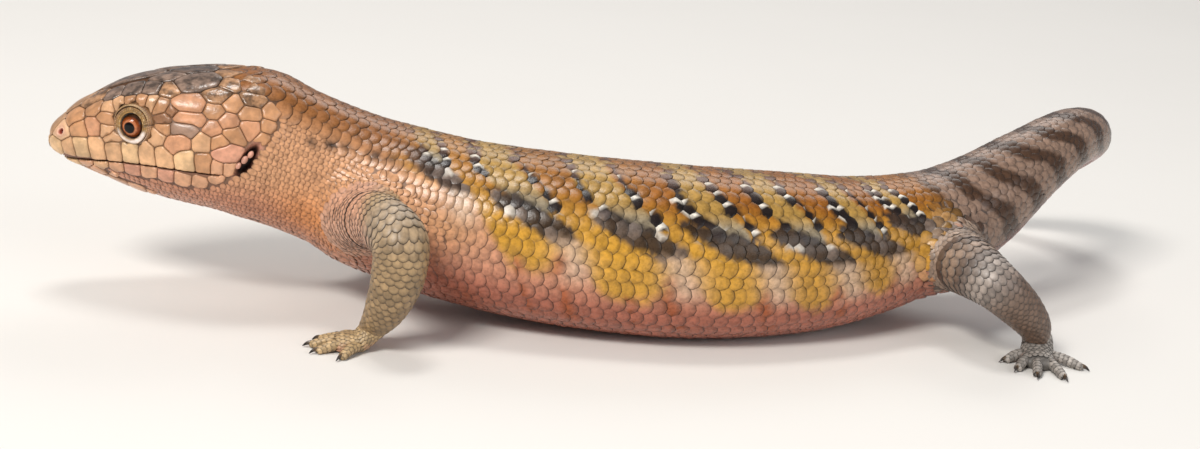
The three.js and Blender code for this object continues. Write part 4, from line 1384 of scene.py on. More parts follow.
def coreDistance(points, starts, ends):
    # squared distance from each point to each core, the segment from start to end
    span = ends - starts
    length = np.maximum((span**2).sum(-1), 1e-9)
    away = points[..., None, :] - starts
    share = np.clip((away * span).sum(-1) / length, 0, 1)
    return ((away - share[..., None] * span) ** 2).sum(-1)


def closedTo(points, s, degrees, upper):
    # places that no shield may cover: past the mouth's line, the lids, the ear
    above = mouthHeight(s, degrees)
    gap = mouth["half"] * smooth(mouth["corner"] + 0.6, mouth["corner"] - 2.5, s)
    past = np.where(upper, above < gap, above > -gap)
    barred = past & (s < mouth["corner"]) & (s > mouth["chin"] - 1.2)
    for side in (1, -1):
        barred |= eyeOval(points, side) < 1
        barred |= earOval(points, side) < 1.25
    return barred


def rayReach(over):
    # the reach of each ray, where the running value first passes 0, by a straight step
    step = shieldShape["step"]
    hit = (over > 0).argmax(-1)
    j = np.arange(len(over))
    before = np.where(hit > 0, over[j, hit - 1], -1.0)
    part = np.clip(-before / (over[j, hit] - before), 0, 1)
    return (hit + 1) * step - step * (1 - part)


def buildShields():
    # from the middle of each core, rays go out over the surface to where another core's
    # squared distance less its weight is smaller, or to a place that is closed
    rows = bothSides(shields)
    s0, a0, s1, a1, weight, height = (np.array([r[k] for r in rows], float) for k in range(6))
    fromS, fromA = (s0 + s1) / 2, (a0 + a1) / 2
    near = roots[:, 0] < shieldShape["bodyTo"]
    dummy = bodyPoint(roots[near, 0], roots[near, 1])
    allStarts = np.vstack([bodyPoint(s0, a0), dummy])
    allEnds = np.vstack([bodyPoint(s1, a1), dummy])
    dummyWeights = np.full(len(dummy), shieldShape["bodyWeight"])
    allWeights = np.concatenate([weight * np.abs(weight) + weight * 2.0, dummyWeights])
    n = shieldShape["rays"]
    turn = 2 * np.pi * (np.arange(n) + 0.5) / n
    tries = np.arange(1, int(shieldShape["reach"] / shieldShape["step"]) + 1) * shieldShape["step"]
    perDegree = mmPerDegree(bodyPoint, fromS, fromA)
    s = fromS[:, None, None] + np.cos(turn)[None, :, None] * tries
    degrees = fromA[:, None, None] + np.sin(turn)[None, :, None] * tries / perDegree[:, None, None]
    limit = np.zeros((len(rows), n))
    for k in range(len(rows)):
        points = bodyPoint(s[k], degrees[k])
        power = coreDistance(points, allStarts, allEnds) - allWeights
        own = power[..., k].copy()
        power[..., k] = 1e9
        over = own - power.min(-1)
        upper = mouthHeight(fromS[k], fromA[k]) > 0
        over = np.where(closedTo(points, s[k], degrees[k], upper), 0.5, over)
        over[:, -1] = 0.5
        limit[k] = rayReach(over)
    # grooves, and corners eased by a little of each neighbour's reach
    limit = np.maximum(limit - shieldShape["gap"] / 2, shieldShape["least"])
    around = (np.roll(limit, 1, 1) + np.roll(limit, -1, 1)) / 2
    eased = shieldShape["eased"]
    limit = np.minimum(limit, (1 - eased) * limit + eased * around + 0.02)
    return rows, fromS, fromA, height, perDegree, turn, limit


def shieldRings(limit, hollow):
    # reach, fall and shade of the rings: shares of the ray inside, then fixed distances from
    # its end, which is the outline; the nostril's own has its middle drawn in as a hollow
    shape = shieldShape
    ray = limit[:, None, :]
    inner = np.array(shape["hollow"] if hollow else shape["inner"])[None, :, None]
    edge = np.array(shape["edge"])[None, :, None]
    reach = np.minimum(inner, 0.7 * ray) if hollow else inner * ray
    outline = ray - np.minimum(edge, 0.35 * ray * (edge > 0))
    fall, suturesAndShade = np.array(shape["fall"]), np.array(shape["suturesAndShade"])
    if hollow:
        fall = np.concatenate([shape["hollowFall"], fall[3:]])
        suturesAndShade = np.concatenate([np.ones(len(shape["hollow"])), suturesAndShade[3:]])
    return np.concatenate([reach, outline], 1), fall, suturesAndShade


def withoutCopies(rings):
    # one middle point in place of the first ring
    return np.concatenate([rings[:, 0, :1], rings[:, 1:].reshape(len(rings), -1, rings.shape[-1])], 1)


def shieldMesh(name, only, material, built):
    # the chosen shields in one piece, each a low dome with a rounded edge, from a middle
    # point out to its outline
    rows, fromS, fromA, height, perDegree, turn, limit = built
    pick = np.array([only(row[6]) for row in rows])
    fromS, fromA, height, perDegree, limit = (x[pick] for x in (fromS, fromA, height, perDegree, limit))
    names = [row[6] for row, chosen in zip(rows, pick) if chosen]
    count, n = limit.shape
    hollow = "nose" in names
    reach, fall, suturesAndShade = shieldRings(limit, hollow)
    size = limit.mean(1)[:, None, None]
    s = fromS[:, None, None] + np.cos(turn) * reach
    degrees = fromA[:, None, None] + np.sin(turn) * reach / perDegree[:, None, None]
    top = height[:, None, None] - body["coat"] + 0.03 * np.minimum(size, 3)
    lift = top - fall[None, :, None] - shieldShape["dome"] * (reach / np.maximum(size, 0.5)) ** 2
    points = bodyPoint(s, degrees) + bodyNormal(s, degrees) * lift[..., None]
    colour = np.array([linear(shieldColours[x]) for x in names]) * (1 + jitter((count, 1), 0.08))
    # darker outer rings: dark sutures and painted shade in the grooves between shields
    tint = colour[:, None, None, :] * suturesAndShade[None, :, None, None] * np.ones((1, 1, n, 1))
    if hollow:
        # the nostril's red-brown lining with painted shade in its deep middle
        painted = np.array([linear(x) for x in shieldShape["hollowLiningAndShade"]])
        tint[:, : len(painted)] = painted[None, :, None, :]
    share = np.linspace(0, 1, len(fall))[:, None]
    flat = withoutCopies(np.stack([np.cos(turn) * share, np.sin(turn) * share], -1)[None])
    uv = bodyPlace(fromS, fromA)[:, None, :] + flat * 0.0015
    shell = joinCopies(withoutCopies(points), withoutCopies(tint), uv, plateFaces(n, len(fall) - 1))
    makePiece(name, [shell], material)


# thick polished keratin: the crown's shields shine, those of the face are satin
crownKeratin = scaleMaterial("crownKeratin", 0.24, 0.9, 0.9, (520.0, 0.45, 1.75))
headKeratin = scaleMaterial("headKeratin", 0.32, 0.6, 0.5, (420.0, 0.78, 1.24))
built = buildShields()
shieldMesh("crownShields", lambda colour: colour.startswith("crown"), crownKeratin, built)
shieldMesh("faceShields", lambda colour: not colour.startswith(("crown", "nose")), headKeratin, built)
shieldMesh("nostrilShields", lambda colour: colour == "nose", headKeratin, built)


lobule = {
    # the lobules that stand over the ear's front edge: up, ahead, half height and half width
    "each": [(1.7, 0.05, 0.75, 0.5), (0.3, 0.5, 0.85, 0.55), (-1.2, 0.95, 0.7, 0.45)],
    "out": (0.5, -0.35),  # half thickness, and place of the middle out of the skin
    "ahead": 0.25,
    "rings": 12,
    "around": 20,
    "colour": "#D8A08A",
}


def facingOut(faces, points, i, out):
    # the faces as they are, or turned round if a quad of the i-th row faces against out
    normal = np.cross(points[i, 1] - points[i, 0], points[i + 1, 0] - points[i, 0])
    return faces if normal @ out > 0 else [face[:, ::-1] for face in faces]


def makeLobules():
    # egg-shaped grains, in polar rings about the way out of the skin
    rings, around = lobule["rings"], lobule["around"]
    turn = np.linspace(0, 2 * np.pi, around, endpoint=False)
    fall = np.linspace(0.08, np.pi - 0.08, rings)[:, None]
    lean = np.radians(ear["lean"])
    k = np.arange(around)
    shells = []
    for side in (1, -1):
        axes = headFrames[side]["ear"]
        for up, ahead, tall, wide in lobule["each"]:
            x = wide * np.sin(fall) * np.cos(turn) + ahead + lobule["ahead"]
            y = tall * np.sin(fall) * np.sin(turn) + up
            z = lobule["out"][0] * np.cos(fall) * np.ones(around) + lobule["out"][1]
            x, y = x * np.cos(lean) - y * np.sin(lean), y * np.cos(lean) + x * np.sin(lean)
            points = axes["centre"] + x[..., None] * axes["ahead"]
            points = points + y[..., None] * axes["up"] + z[..., None] * axes["out"]
            # darker towards the skin: painted shade at the lobules' bases
            shade = (0.6 + 0.4 * smooth(-0.9, 0.1, z))[..., None]
            tint = np.ones((rings, around, 1)) * linear(lobule["colour"]) * shade
            faces = [gridFaces(around, rings, True), k[::-1][None, :], ((rings - 1) * around + k)[None, :]]
            faces = facingOut(faces, points, 3, points[3, 0] - points.mean((0, 1)))
            disc = np.stack([np.cos(turn), np.sin(turn)], -1) * np.sin(fall)[..., None]
            uv = bodyPlace(ear["s"], side * (ear["degrees"] - 4 * up)) + 0.001 * disc
            shells.append((points.reshape(-1, 3), tint.reshape(-1, 3), uv.reshape(-1, 2), faces))
    makePiece("earLobules", shells, headKeratin)


makeLobules()


# The skin under the scales, in one piece: a fine head, a trunk joined with the limbs, and
# fine feet. It lies inside the solids by the coat's depth.

headSkin = {
    "columns": 280,
    "rings": 148,
    "start": 0.02,  # s of the first ring
    "end": 46.0,  # and of the last
    "socket": 1.3,  # how deep the skin goes behind the eye
    "seamToneAndShade": 0.34,  # how dark the skin is against the scales on it: its own darker tone with painted shade in the seams
    "atRoots": 0.9,  # how much lighter it is at the limbs' roots
}
headPaint = linearAll({
    "lip": "#8E5A42",
    # mouth: painted shade for the mouth's groove
    "mouth": "#4A241A",
    "nostril": "#B4543F",
    # ear: the opening's dark red lining, darkened to near black as painted shade in its depth
    "ear": "#2B0F0B",
    "earRim": "#C98D77",
})


def skinColour(s, degrees):
    # the scales' own colours, darker as they show in the seams: the skin's own tone with painted shade
    colour = bodyColour(s.ravel(), degrees.ravel(), np.full(s.size, 1.2))
    return colour.reshape(*s.shape, 3) * headSkin["seamToneAndShade"]


def mouthGroove(s, degrees):
    # depth drawn in along the mouth's line, deep * exp(-(height / half)^4), and the height
    above = np.abs(mouthHeight(s, degrees))
    fade = smooth(mouth["corner"] + 0.5, mouth["corner"] - 4, s) * smooth(0.0, 0.6, s)
    return fade * mouth["deep"] * np.exp(-((above / (mouth["half"] * 1.15)) ** 4)), above


def columnAngles(s):
    # angles round the head, drawn together near the mouth's line: even steps of the running
    # sum of a density that has a hump there
    fine = np.linspace(-180, 180, 1441)
    ring = mouthHeight(np.full(fine.shape, float(s)), fine)
    hump = smooth(mouth["corner"] + 2, mouth["corner"] - 2, s)
    density = 1 + 7 * hump * np.exp(-((ring / 0.55) ** 2))
    total = np.concatenate([[0], np.cumsum((density[1:] + density[:-1]) / 2)])
    wanted = np.arange(headSkin["columns"]) / headSkin["columns"] * total[-1]
    return np.interp(wanted, total, fine)


def makeHeadSkin():
    # rings from a closed pole at the snout back over the neck, drawn in along the mouth and
    # into the nostrils, ears and eye sockets
    n = headSkin["columns"]
    u = np.linspace(0, 1, headSkin["rings"])
    s = headSkin["start"] + (headSkin["end"] - headSkin["start"]) * u**1.2
    degrees = np.array([columnAngles(x) for x in s])
    s = np.repeat(s[:, None], n, 1)
    points = bodyPoint(s, degrees)
    groove, above = mouthGroove(s, degrees)
    depth = groove + body["coat"]
    tint = skinColour(s, degrees)
    tint = mix(tint, headPaint["lip"], np.exp(-((above / 0.7) ** 2)) * (s < mouth["corner"]) * 0.5)
    # painted shade in the mouth's groove, darker as it deepens
    tint = mix(tint, headPaint["mouth"], smooth(0.35, 1.1, groove))
    for side in (1, -1):
        hole, slit, socket = (oval(points, side) for oval in (nostrilOval, earOval, eyeOval))
        depth = depth + nostril["deep"] * smooth(1.3, 0.6, hole)
        depth = depth + ear["deep"] * smooth(1.35, 0.5, slit) + headSkin["socket"] * smooth(1.0, 0.8, socket)
        tint = mix(tint, headPaint["nostril"], smooth(1.9, 0.9, hole))
        tint = mix(tint, headPaint["earRim"], smooth(1.7, 1.1, slit) * 0.8)
        # the ear opening: dark red lining darkened to near black as painted shade
        tint = mix(tint, headPaint["ear"], smooth(1.15, 0.75, slit))
    points = points - bodyNormal(s, degrees) * depth[..., None]
    points = np.concatenate([points[0].mean(0)[None], points.reshape(-1, 3)], 0)
    tint = np.concatenate([tint[0, :1], tint.reshape(-1, 3)], 0)
    uv = np.concatenate([[[0.01, 0.5]], bodyPlace(s, degrees).reshape(-1, 2)], 0)
    return points, tint, uv, plateFaces(n, headSkin["rings"])[:2]


def closedTube(pointAt, places, around):
    # rings of a surface at the given places along it, closed at each end
    degrees = np.linspace(0, 360, around, endpoint=False)
    return cappedRings(pointAt(places[:, None], degrees[None, :]))


def wholeTube(tube, low, high, around, inside):
    # a tube from low to high with its round ends, less the coat; the first end is open to
    # the rest of the tube, and so flat, where low isn't its start
    size = tube["values"][[0, -1], 12:14].mean(1)
    cap = np.array([0.995, 0.9, 0.7, 0.4])
    places = np.concatenate([low - cap * size[0], np.linspace(low, high, 40), high + cap[::-1] * size[1]])
    if low > 0:
        places = places[len(cap):]
    return closedTube(lambda a, degrees: tubePoint(tube, a, degrees, -inside), places, around)


def remeshed(parts, voxel):
    # closed parts joined into one surface by Blender's voxel remesher: points and quads
    points, faces, base = [], [], 0
    for p, sets in parts:
        points.append(p)
        faces += [row for f in sets for row in (f + base).tolist()]
        base += len(p)
    mesh = bpy.data.meshes.new("joining")
    mesh.from_pydata(np.vstack(points).tolist(), [], faces)
    thing = bpy.data.objects.new("joining", mesh)
    bpy.context.scene.collection.objects.link(thing)
    join = thing.modifiers.new("join", "REMESH")
    join.mode = "VOXEL"
    join.voxel_size = voxel
    joined = bpy.data.meshes.new_from_object(thing.evaluated_get(bpy.context.evaluated_depsgraph_get()))
    co = np.empty(len(joined.vertices) * 3, np.float32)
    joined.vertices.foreach_get("co", co)
    corners = np.empty(len(joined.loops), np.int32)
    joined.loops.foreach_get("vertex_index", corners)
    bpy.data.objects.remove(thing)
    bpy.data.meshes.remove(mesh)
    bpy.data.meshes.remove(joined)
    return co.reshape(-1, 3).astype(float), corners.reshape(-1, 4)


def bodyPlaceOf(points):
    # s of the nearest spine point, and the angle whose squared ellipse passes the point
    q, s, left, up, ahead = nearestOnSpine(points, np.arange(0.0, bodyLength, 0.5))
    tall, square = halfSizes(q, up)
    sine = np.sign(left) * np.abs(left / q["wide"]) ** (square / 2)
    cosine = np.sign(up) * np.abs(up / tall) ** (square / 2)
    return s + ahead, np.degrees(np.arctan2(sine, cosine))


def limbShare(points):
    # for each point, the limb whose surface is nearest, how near, and how far along it
    best = np.full(len(points), 1e9)
    which = np.zeros(len(points), int)
    along = np.zeros(len(points))
    for k, limb in enumerate(allLimbs):
        q = named(limb["tube"]["values"], tubeColumns)
        away = np.linalg.norm(points[:, None, :] - q["at"][None], axis=-1) - q["wide"]
        near = away.argmin(1)
        closer = away.min(1) < best
        best = np.where(closer, away.min(1), best)
        which = np.where(closer, k, which)
        along = np.where(closer, limb["tube"]["length"][near], along)
    return which, best, along


def trunkGap(points):
    # distance out from the trunk's own surface, at the fore and at the hind limbs
    return np.minimum(trunkDistance(points, 30, 90), trunkDistance(points, 130, 200))


def limbUnwrap(which, along, degrees):
    # the limbs' own strips of the unwrap, to the right of the body's
    return np.stack([0.8 + 0.05 * which + 0.045 * degrees / 360, 0.02 + 0.9 * along / 60], -1)


def makeTrunkSkin():
    # trunk, tail and limbs joined, with the points near a limb's root drawn to the soft union
    s = np.concatenate([np.arange(headSkin["end"] - 2.0, 250, 0.8), np.arange(250, bodyLength - 0.3, 0.6)])
    inside = body["coat"]
    parts = [closedTube(lambda a, degrees: bodyPoint(a, degrees, -inside), s, 132)]
    for limb in allLimbs:
        parts.append(wholeTube(limb["tube"], 0.0, limb["tube"]["end"], 40, inside))
    points, quads = remeshed(parts, 0.9)
    s, degrees = bodyPlaceOf(points)
    which, near, along = limbShare(points)
    reach = union["fade"][0]
    for k, limb in enumerate(allLimbs):
        low, high = limb["meets"]
        chosen = (which == k) & (near < reach) & (s > low) & (s < high)
        chosen &= trunkDistance(points, low, high) < reach
        drawn = ontoUnion(points[chosen], limb, inside, 4)[0]
        points[chosen] += (drawn - points[chosen]) * smooth(*union["fade"], near[chosen])[:, None]
    tint = skinColour(s, degrees)
    onLimb = smooth(0.8, -0.4, near + inside) * smooth(-1.0, 1.5, trunkGap(points))
    noTurn = np.zeros(len(points))
    # on the limbs the skin darkens the same way: its own tone with painted shade in the seams
    tint = mix(tint, limbColour(which, along, noTurn, points) * headSkin["seamToneAndShade"], onLimb)
    tint = tint * (1 + headSkin["atRoots"] * smooth(5, 0, near) * smooth(24, 12, along))[:, None]
    uv = np.where(onLimb[:, None] > 0.5, limbUnwrap(which, along, noTurn), bodyPlace(s, degrees))
    return points, tint, uv, [quads]


limbPaint = linearAll({
    "foreRoot": "#A1855F",
    "foreWrist": "#8C7352",
    "hindRoot": "#96806F",
    "hindWrist": "#655042",
    "pale": "#A39B94",  # elbow and knee
    "pink": "#C4937A",  # inner side and root
    "forelegFoot": "#A88E68",
    "hindlegFoot": "#8A837C",
    "heel": "#B07A64",
    "band": "#45342B",
})


def limbColour(which, along, degrees, at):
    # root colour to wrist colour along each limb, a pale joint, pink where the arm's inner
    # front meets the chest, and on the hind limb broken cross bands
    p = limbPaint
    hind = which >= 2
    u = along / np.where(hind, allLimbs[2]["tube"]["end"], allLimbs[0]["tube"]["end"])
    fore = mix(p["foreRoot"], p["foreWrist"], smooth(0.45, 0.8, u))
    fore = mix(fore, p["pale"], np.exp(-(((u - 0.52) / 0.08) ** 2)) * 0.35)
    rear = mix(p["hindRoot"], p["hindWrist"], smooth(0.3, 0.7, u))
    wave = np.sin(u * 52 + np.sin(np.radians(degrees)) * 1.2)
    rear = mix(rear, p["band"], smooth(0.1, 0.8, wave) * smooth(0.75, 0.5, u) * 0.75)
    rear = mix(rear, p["pale"], np.exp(-(((u - 0.56) / 0.06) ** 2)) * 0.6)
    colour = np.where(hind[:, None], rear, fore)
    for k, limb in enumerate(allLimbs[:2]):
        elbow = limb["tube"]["values"][40, :3]
        front = ((at - elbow) * (limb["forward"] * 0.8 - limb["out"] * 0.3 - 0.5 * rise)).sum(-1)
        inner = smooth(2.0, 6.5, front) * smooth(0.66, 0.5, u) * (which == k)
        colour = mix(colour, p["pink"], inner * 0.85)
    return colour


footSkin = {"voxel": 0.34, "under": 0.2, "shin": 7}  # mm; shin is how much of it is in


def makeFootSkin(limb):
    # palm, toes and the last of the shin joined finely
    end = limb["tube"]["end"]
    under = footSkin["under"]
    parts = [wholeTube(limb["tube"], end - footSkin["shin"], end, 36, body["coat"])]
    parts.append(wholeTube(limb["palm"], 0.0, limb["palm"]["end"], 36, under))
    parts += [wholeTube(toe, 0.0, toe["end"], 20, under) for toe, _ in limb["toes"]]
    points, quads = remeshed(parts, footSkin["voxel"])
    # half as bright: the skin's darker tone with painted shade in the seams between the foot's scales
    tint = np.repeat((limbPaint[limb["name"] + "Foot"] * 0.5)[None], len(points), 0)
    uv = np.repeat(limbUnwrap(limb["index"], end, 0)[None], len(points), 0)
    return points, tint, uv, [quads]


# thin soft skin between the scales, duller than they are
skinKeratin = scaleMaterial("softSkin", 0.5, 0.3, 0.3)
shells = [makeHeadSkin(), makeTrunkSkin()] + [makeFootSkin(limb) for limb in allLimbs]
skin = makePiece("skin", shells, skinKeratin)
fleshNodes = [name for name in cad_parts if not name.startswith(("claw", "eye"))]
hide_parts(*fleshNodes)


# Eyes and lids

eyeShape = {
    "around": 72,
    "rings": 90,
    "crowd": 1.15,  # how the rings crowd towards the front
    "cornea": 0.22,  # how far it stands out over the ball
    "down": 8.0,  # how many degrees the gaze is turned down and ahead
    "ahead": 4.0,
    "iris": (1.3, 1.62),  # where its inner ring gives way to its outer, mm from the sight
}
eyePaint = linearAll({
    "irisIn": "#B5704A",
    "irisMid": "#7E3A12",
    "irisOut": "#341C0E",
    "white": "#3A2415",
    "pupil": "#020101",
})


def irisTint(r, turn):
    # pupil, copper inner ring, brown outer ring with fibres, dark edge and the dark white,
    # each from its own radius r out
    fibre = np.sin(turn * 23 + 3 * np.sin(turn * 5)) * 0.5 + np.sin(turn * 41) * 0.5
    tint = mix(eyePaint["irisMid"], eyePaint["irisIn"], smooth(*eyeShape["iris"][::-1], r + 0.05 * fibre))
    tint = tint * (1 + 0.22 * fibre[None, :, None] * smooth(1.2, 1.7, r)[..., None])
    tint = mix(tint, eyePaint["irisOut"], smooth(1.66, 2.05, r + 0.06 * fibre))
    tint = mix(tint, eyePaint["white"], smooth(2.02, 2.12, r))
    return mix(tint, eyePaint["pupil"], smooth(1.08, 1.0, r))


def makeEyes():
    # a ball in polar rings about the line of sight, from front to back; the cornea stands
    # out a little over the iris
    rings, around = eyeShape["rings"], eyeShape["around"]
    crowd = eyeShape["crowd"]
    u = np.linspace(0, np.pi, rings) ** crowd / np.pi ** (crowd - 1)
    turn = np.linspace(0, 2 * np.pi, around, endpoint=False)
    down, ahead = np.radians(eyeShape["down"]), np.radians(eyeShape["ahead"])
    shells = []
    for count, side in enumerate((1, -1)):
        axes = headFrames[side]["eye"]
        sight = unit(axes["out"] - axes["up"] * np.tan(down) + axes["ahead"] * np.tan(ahead))
        right = unit(np.cross(axes["up"], sight))
        up = np.cross(sight, right)
        radius = eyePlace["ball"] + eyeShape["cornea"] * smooth(0.8, 0.2, u)
        forward = np.cos(u) * radius
        away = np.sin(u) * radius
        ring = right * np.cos(turn)[:, None] + up * np.sin(turn)[:, None]
        points = eyeCentre(side) + sight * forward[:, None, None] + ring[None] * away[:, None, None]
        tint = irisTint(away[:, None] * np.ones(around), turn)
        tint = np.where((u > 1.6)[:, None, None], eyePaint["white"], tint)
        flat = np.stack([away[:, None] * np.cos(turn), away[:, None] * np.sin(turn)], -1) / 14
        flat = flat + [0.25 + 0.5 * count, 0.25] + (u > np.pi / 2)[:, None, None] * [0, 0.5]
        faces = [gridFaces(around, rings, True)]
        shells.append((points.reshape(-1, 3), tint.reshape(-1, 3), flat.reshape(-1, 2), faces))
    eyes = makePiece("eyes", shells, wetEye)
    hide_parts("eye_left", "eye_right")


def makeWetEye():
    # the painted ball under a clear wet coat
    material, tree, shader = newMaterial("wetCornea")
    shade = mottledTint(tree, 2600.0, {"Detail": 3.0}, 0.3, 0.7, (0.7, 1.3))[0]
    tree.links.new(shade, shader.inputs["Base Color"])
    shader.inputs["Roughness"].default_value = 0.3
    shader.inputs["Specular IOR Level"].default_value = 0.1
    shader.inputs["IOR"].default_value = 1.38
    shader.inputs["Coat Weight"].default_value = 0.4
    shader.inputs["Coat Roughness"].default_value = 0.02
    return material


lidShape = {
    "open": (2.12, 2.38),  # half sizes of the opening, along and up, mm
    "shift": -0.1,
    "tucked": 0.32,  # how far the first ring lies inside the opening
    "tail": 0.5,  # and the last one under the shields
    "thick": 0.34,  # of the rim over the ball
    "bead": 0.4,  # spacing of the granules
    "high": 0.15,
    "around": 250,
    "rings": 58,
    # how far each fold stands out, or in
    "folds": {
        "groove": -0.26,
        "second": -0.16,
        "pad": 0.14,
        "lip": 0.2,
        "lipCrease": -0.2,
        "ridge": 0.14,
        "corner": -0.2,
    },
}
lidPaint = linearAll({
    "gold": "#AC8044",
    "olive": "#8A6838",
    "pale": "#C9A878",
    "pink": "#A67A55",
    "white": "#EEDDD2",
    # dark: painted shade for the creases and the rim of the opening
    "dark": "#24140C",
})


def skinUnder(side):
    # the skin's height over the eye's frame, as a polynomial of ahead and up fitted to
    # points of the head round it
    s, degrees = np.meshgrid(np.linspace(9, 25, 40), side * np.linspace(45, 104, 40), indexing="ij")
    points = bodyPoint(s, degrees)
    ahead, up, out = (x.ravel() for x in seenFrom(points, side, "eye"))
    powers = [(i, j) for i in range(5) for j in range(5 - i)]
    near = np.hypot(ahead, up) < 6.5
    terms = np.stack([(ahead / 5) ** i * (up / 5) ** j for i, j in powers], -1)
    values = np.linalg.lstsq(terms[near], out[near], rcond=None)[0]

    def height(x, y):
        return sum(value * (x / 5) ** i * (y / 5) ** j for value, (i, j) in zip(values, powers))

    return height


def bump(x, middle, half):
    # exp(-((x - middle) / half)^2)
    return np.exp(-(((x - middle) / half) ** 2))


def lidFolds(t, x, y, turn):
    # a rolled rim, a crease over it, a second one above, and under the eye the lower lid's
    # thick edge, broadest to the rear, with a ridge that runs on to the front; t is the
    # distance out from the opening
    upper = smooth(0.1, 0.6, np.sin(turn))
    lower = smooth(0.15, 0.55, -np.sin(turn))
    rear = smooth(-0.2, 0.5, -np.cos(turn))
    front = smooth(0.2, 0.7, np.cos(turn))
    crease = 0.95 + 0.2 * upper
    return {
        "groove": bump(t, crease, 0.12) * upper,
        "second": bump(t, crease + 0.62, 0.1) * upper * 0.7,
        "pad": bump(t, crease + 0.32, 0.22) * upper,
        "lip": bump(t, 0.44 + 0.14 * rear, 0.24 + 0.12 * rear) * lower * (0.5 + 0.5 * rear),
        "lipCrease": bump(t, 1.02 + 0.15 * rear, 0.12) * lower,
        "ridge": bump(t, 1.3, 0.16) * lower * (0.35 + 0.65 * front),
        "corner": bump(y, 0.2 + 0.25 * (-x - 2.6), 0.16) * smooth(0.2, 0.6, t) * (x < 0),
    }


def lidGranules(t, turn, opening):
    # beads in rings, as many to a ring as fit: how high each point is on its bead, and the
    # bead's own chance, sin(number * a + ring * b) * c's fraction
    bead = lidShape["bead"]
    ring = np.floor((t + 0.05) / bead)
    count = np.maximum(np.round(2 * np.pi * (opening.mean() + (ring + 0.5) * bead) / (bead * 1.05)), 8)
    across = (t + 0.05) / bead - ring
    phase = turn / (2 * np.pi) * count + 0.5 * (ring % 2)
    number = np.floor(phase) % count
    along = phase - np.floor(phase)
    dome = np.clip(1 - (2 * across - 1) ** 2, 0, 1) * np.clip(1 - (2 * along - 1) ** 2, 0, 1)
    chance = (np.sin(number * 12.9898 + ring * 78.233) * 43758.5453) % 1.0
    return np.sqrt(dome) * smooth(0.15, 0.35, t), chance


def lidTint(t, turn, folds, dome, chance):
    # gold and olive granules, darker between the beads as painted shade, pink outwards, paler on the pad, a
    # white lower edge, and painted shade in the creases and at the rim of the opening
    p = lidPaint
    front = smooth(0.2, 0.7, np.cos(turn))
    tint = mix(p["gold"], p["olive"], chance)
    tint = mix(tint, p["pale"], smooth(0.8, 0.95, chance) * 0.7)
    tint = mix(tint, p["pink"], smooth(0.75, 1.3, t + 0.3 * front) * 0.9)
    tint = mix(tint, p["pale"], folds["pad"] * 0.7)
    # darker between the granules: painted shade
    tint = tint * (0.5 + 0.55 * np.maximum(dome, smooth(0.35, 0.2, t)))[..., None]
    tint = mix(tint, p["white"], np.clip(folds["lip"] * 1.5 + 0.5 * folds["ridge"], 0, 1))
    # painted shade in the creases
    creaseShade = {"groove": 0.85, "second": 0.6, "lipCrease": 0.55, "corner": 0.6}
    tint = mix(tint, p["dark"], np.clip(sum(folds[k] * x for k, x in creaseShade.items()), 0, 1))
    # painted shadow between the ball and the lid's rim
    return mix(tint, p["dark"], smooth(0.12, 0.0, t))


def makeLids():
    # polar rings from the tucked-in rim out to under the shields: the greater of the ball
    # plus the rim's thickness and the skin, with folds along the ring and granules on it
    shape = lidShape
    n, m = shape["around"], shape["rings"]
    turn = np.linspace(0, 2 * np.pi, n, endpoint=False)
    sine, cosine = np.sin(turn), np.cos(turn)
    long, tall = shape["open"]
    opening = long * tall / np.hypot(tall * cosine, long * sine)
    aside = lids["back"] * sine + lids["raised"] * cosine
    outer = np.sqrt(lids["outer"] ** 2 - aside**2) - lids["back"] * cosine
    outer = outer + lids["raised"] * sine + shape["tail"]
    tucked = shape["tucked"]
    t = -tucked + (outer - opening + tucked) * np.linspace(0, 1, m)[:, None]
    r = opening + t
    x, y = r * cosine, r * sine + shape["shift"]
    ball = np.sqrt(np.maximum(eyePlace["ball"] ** 2 - x * x - y * y, 0.02)) - eyePlace["sunk"]
    over = ball + shape["thick"] * smooth(-0.3, 0.12, t) - 0.1
    folds = lidFolds(t, x, y, turn)
    edge = smooth(outer - 0.75, outer - 0.15, r)
    dome, chance = lidGranules(t, turn, opening)
    dome = dome * (1 - edge) * (1 - 0.8 * folds["lip"])
    relief = sum(folds[k] * high for k, high in shape["folds"].items()) + shape["high"] * dome - edge * 0.75
    tint = lidTint(t, turn, folds, dome, chance)
    shells = []
    for side in (1, -1):
        axes = headFrames[side]["eye"]
        under = skinUnder(side)(x, y) + 0.02
        high = np.where(t < 0.05, over, -softUnion(-over, -under, 0.35)) + relief
        points = axes["centre"] + axes["ahead"] * x[..., None] + axes["up"] * y[..., None]
        points = points + axes["out"] * high[..., None]
        place = bodyPlace(eyePlace["s"] - x, side * (eyePlace["degrees"] - y * 4.6))
        faces = facingOut([gridFaces(n, m, True)], points, 30, axes["out"])
        shells.append((points.reshape(-1, 3), tint.reshape(-1, 3), place.reshape(-1, 2), faces))
    makePiece("eyeLids", shells, lidSkin)


# soft granular skin of the lids, with a little sheen of moisture
lidSkin = scaleMaterial("lidSkin", 0.4, 0.12, 0.3)
wetEye = makeWetEye()
makeEyes()
makeLids()


# Feet: rings of small scales on the palms and rows of them along the toes


def insideTube(points, tube):
    # how deep a point lies in a tube: size * (1 - root of the sum of (offset / size)2)
    near = ((points[:, None, :] - tube["values"][None, :, :3]) ** 2).sum(-1).argmin(1)
    q = named(tube["values"][near], tubeColumns)
    away = points - q["at"]
    size = (q["wide"] + q["high"]) / 2
    scales = {"side": q["wide"], "up": q["high"], "along": size}
    return size * (1 - np.sqrt(sum(((away * q[k]).sum(-1) / scale) ** 2 for k, scale in scales.items())))


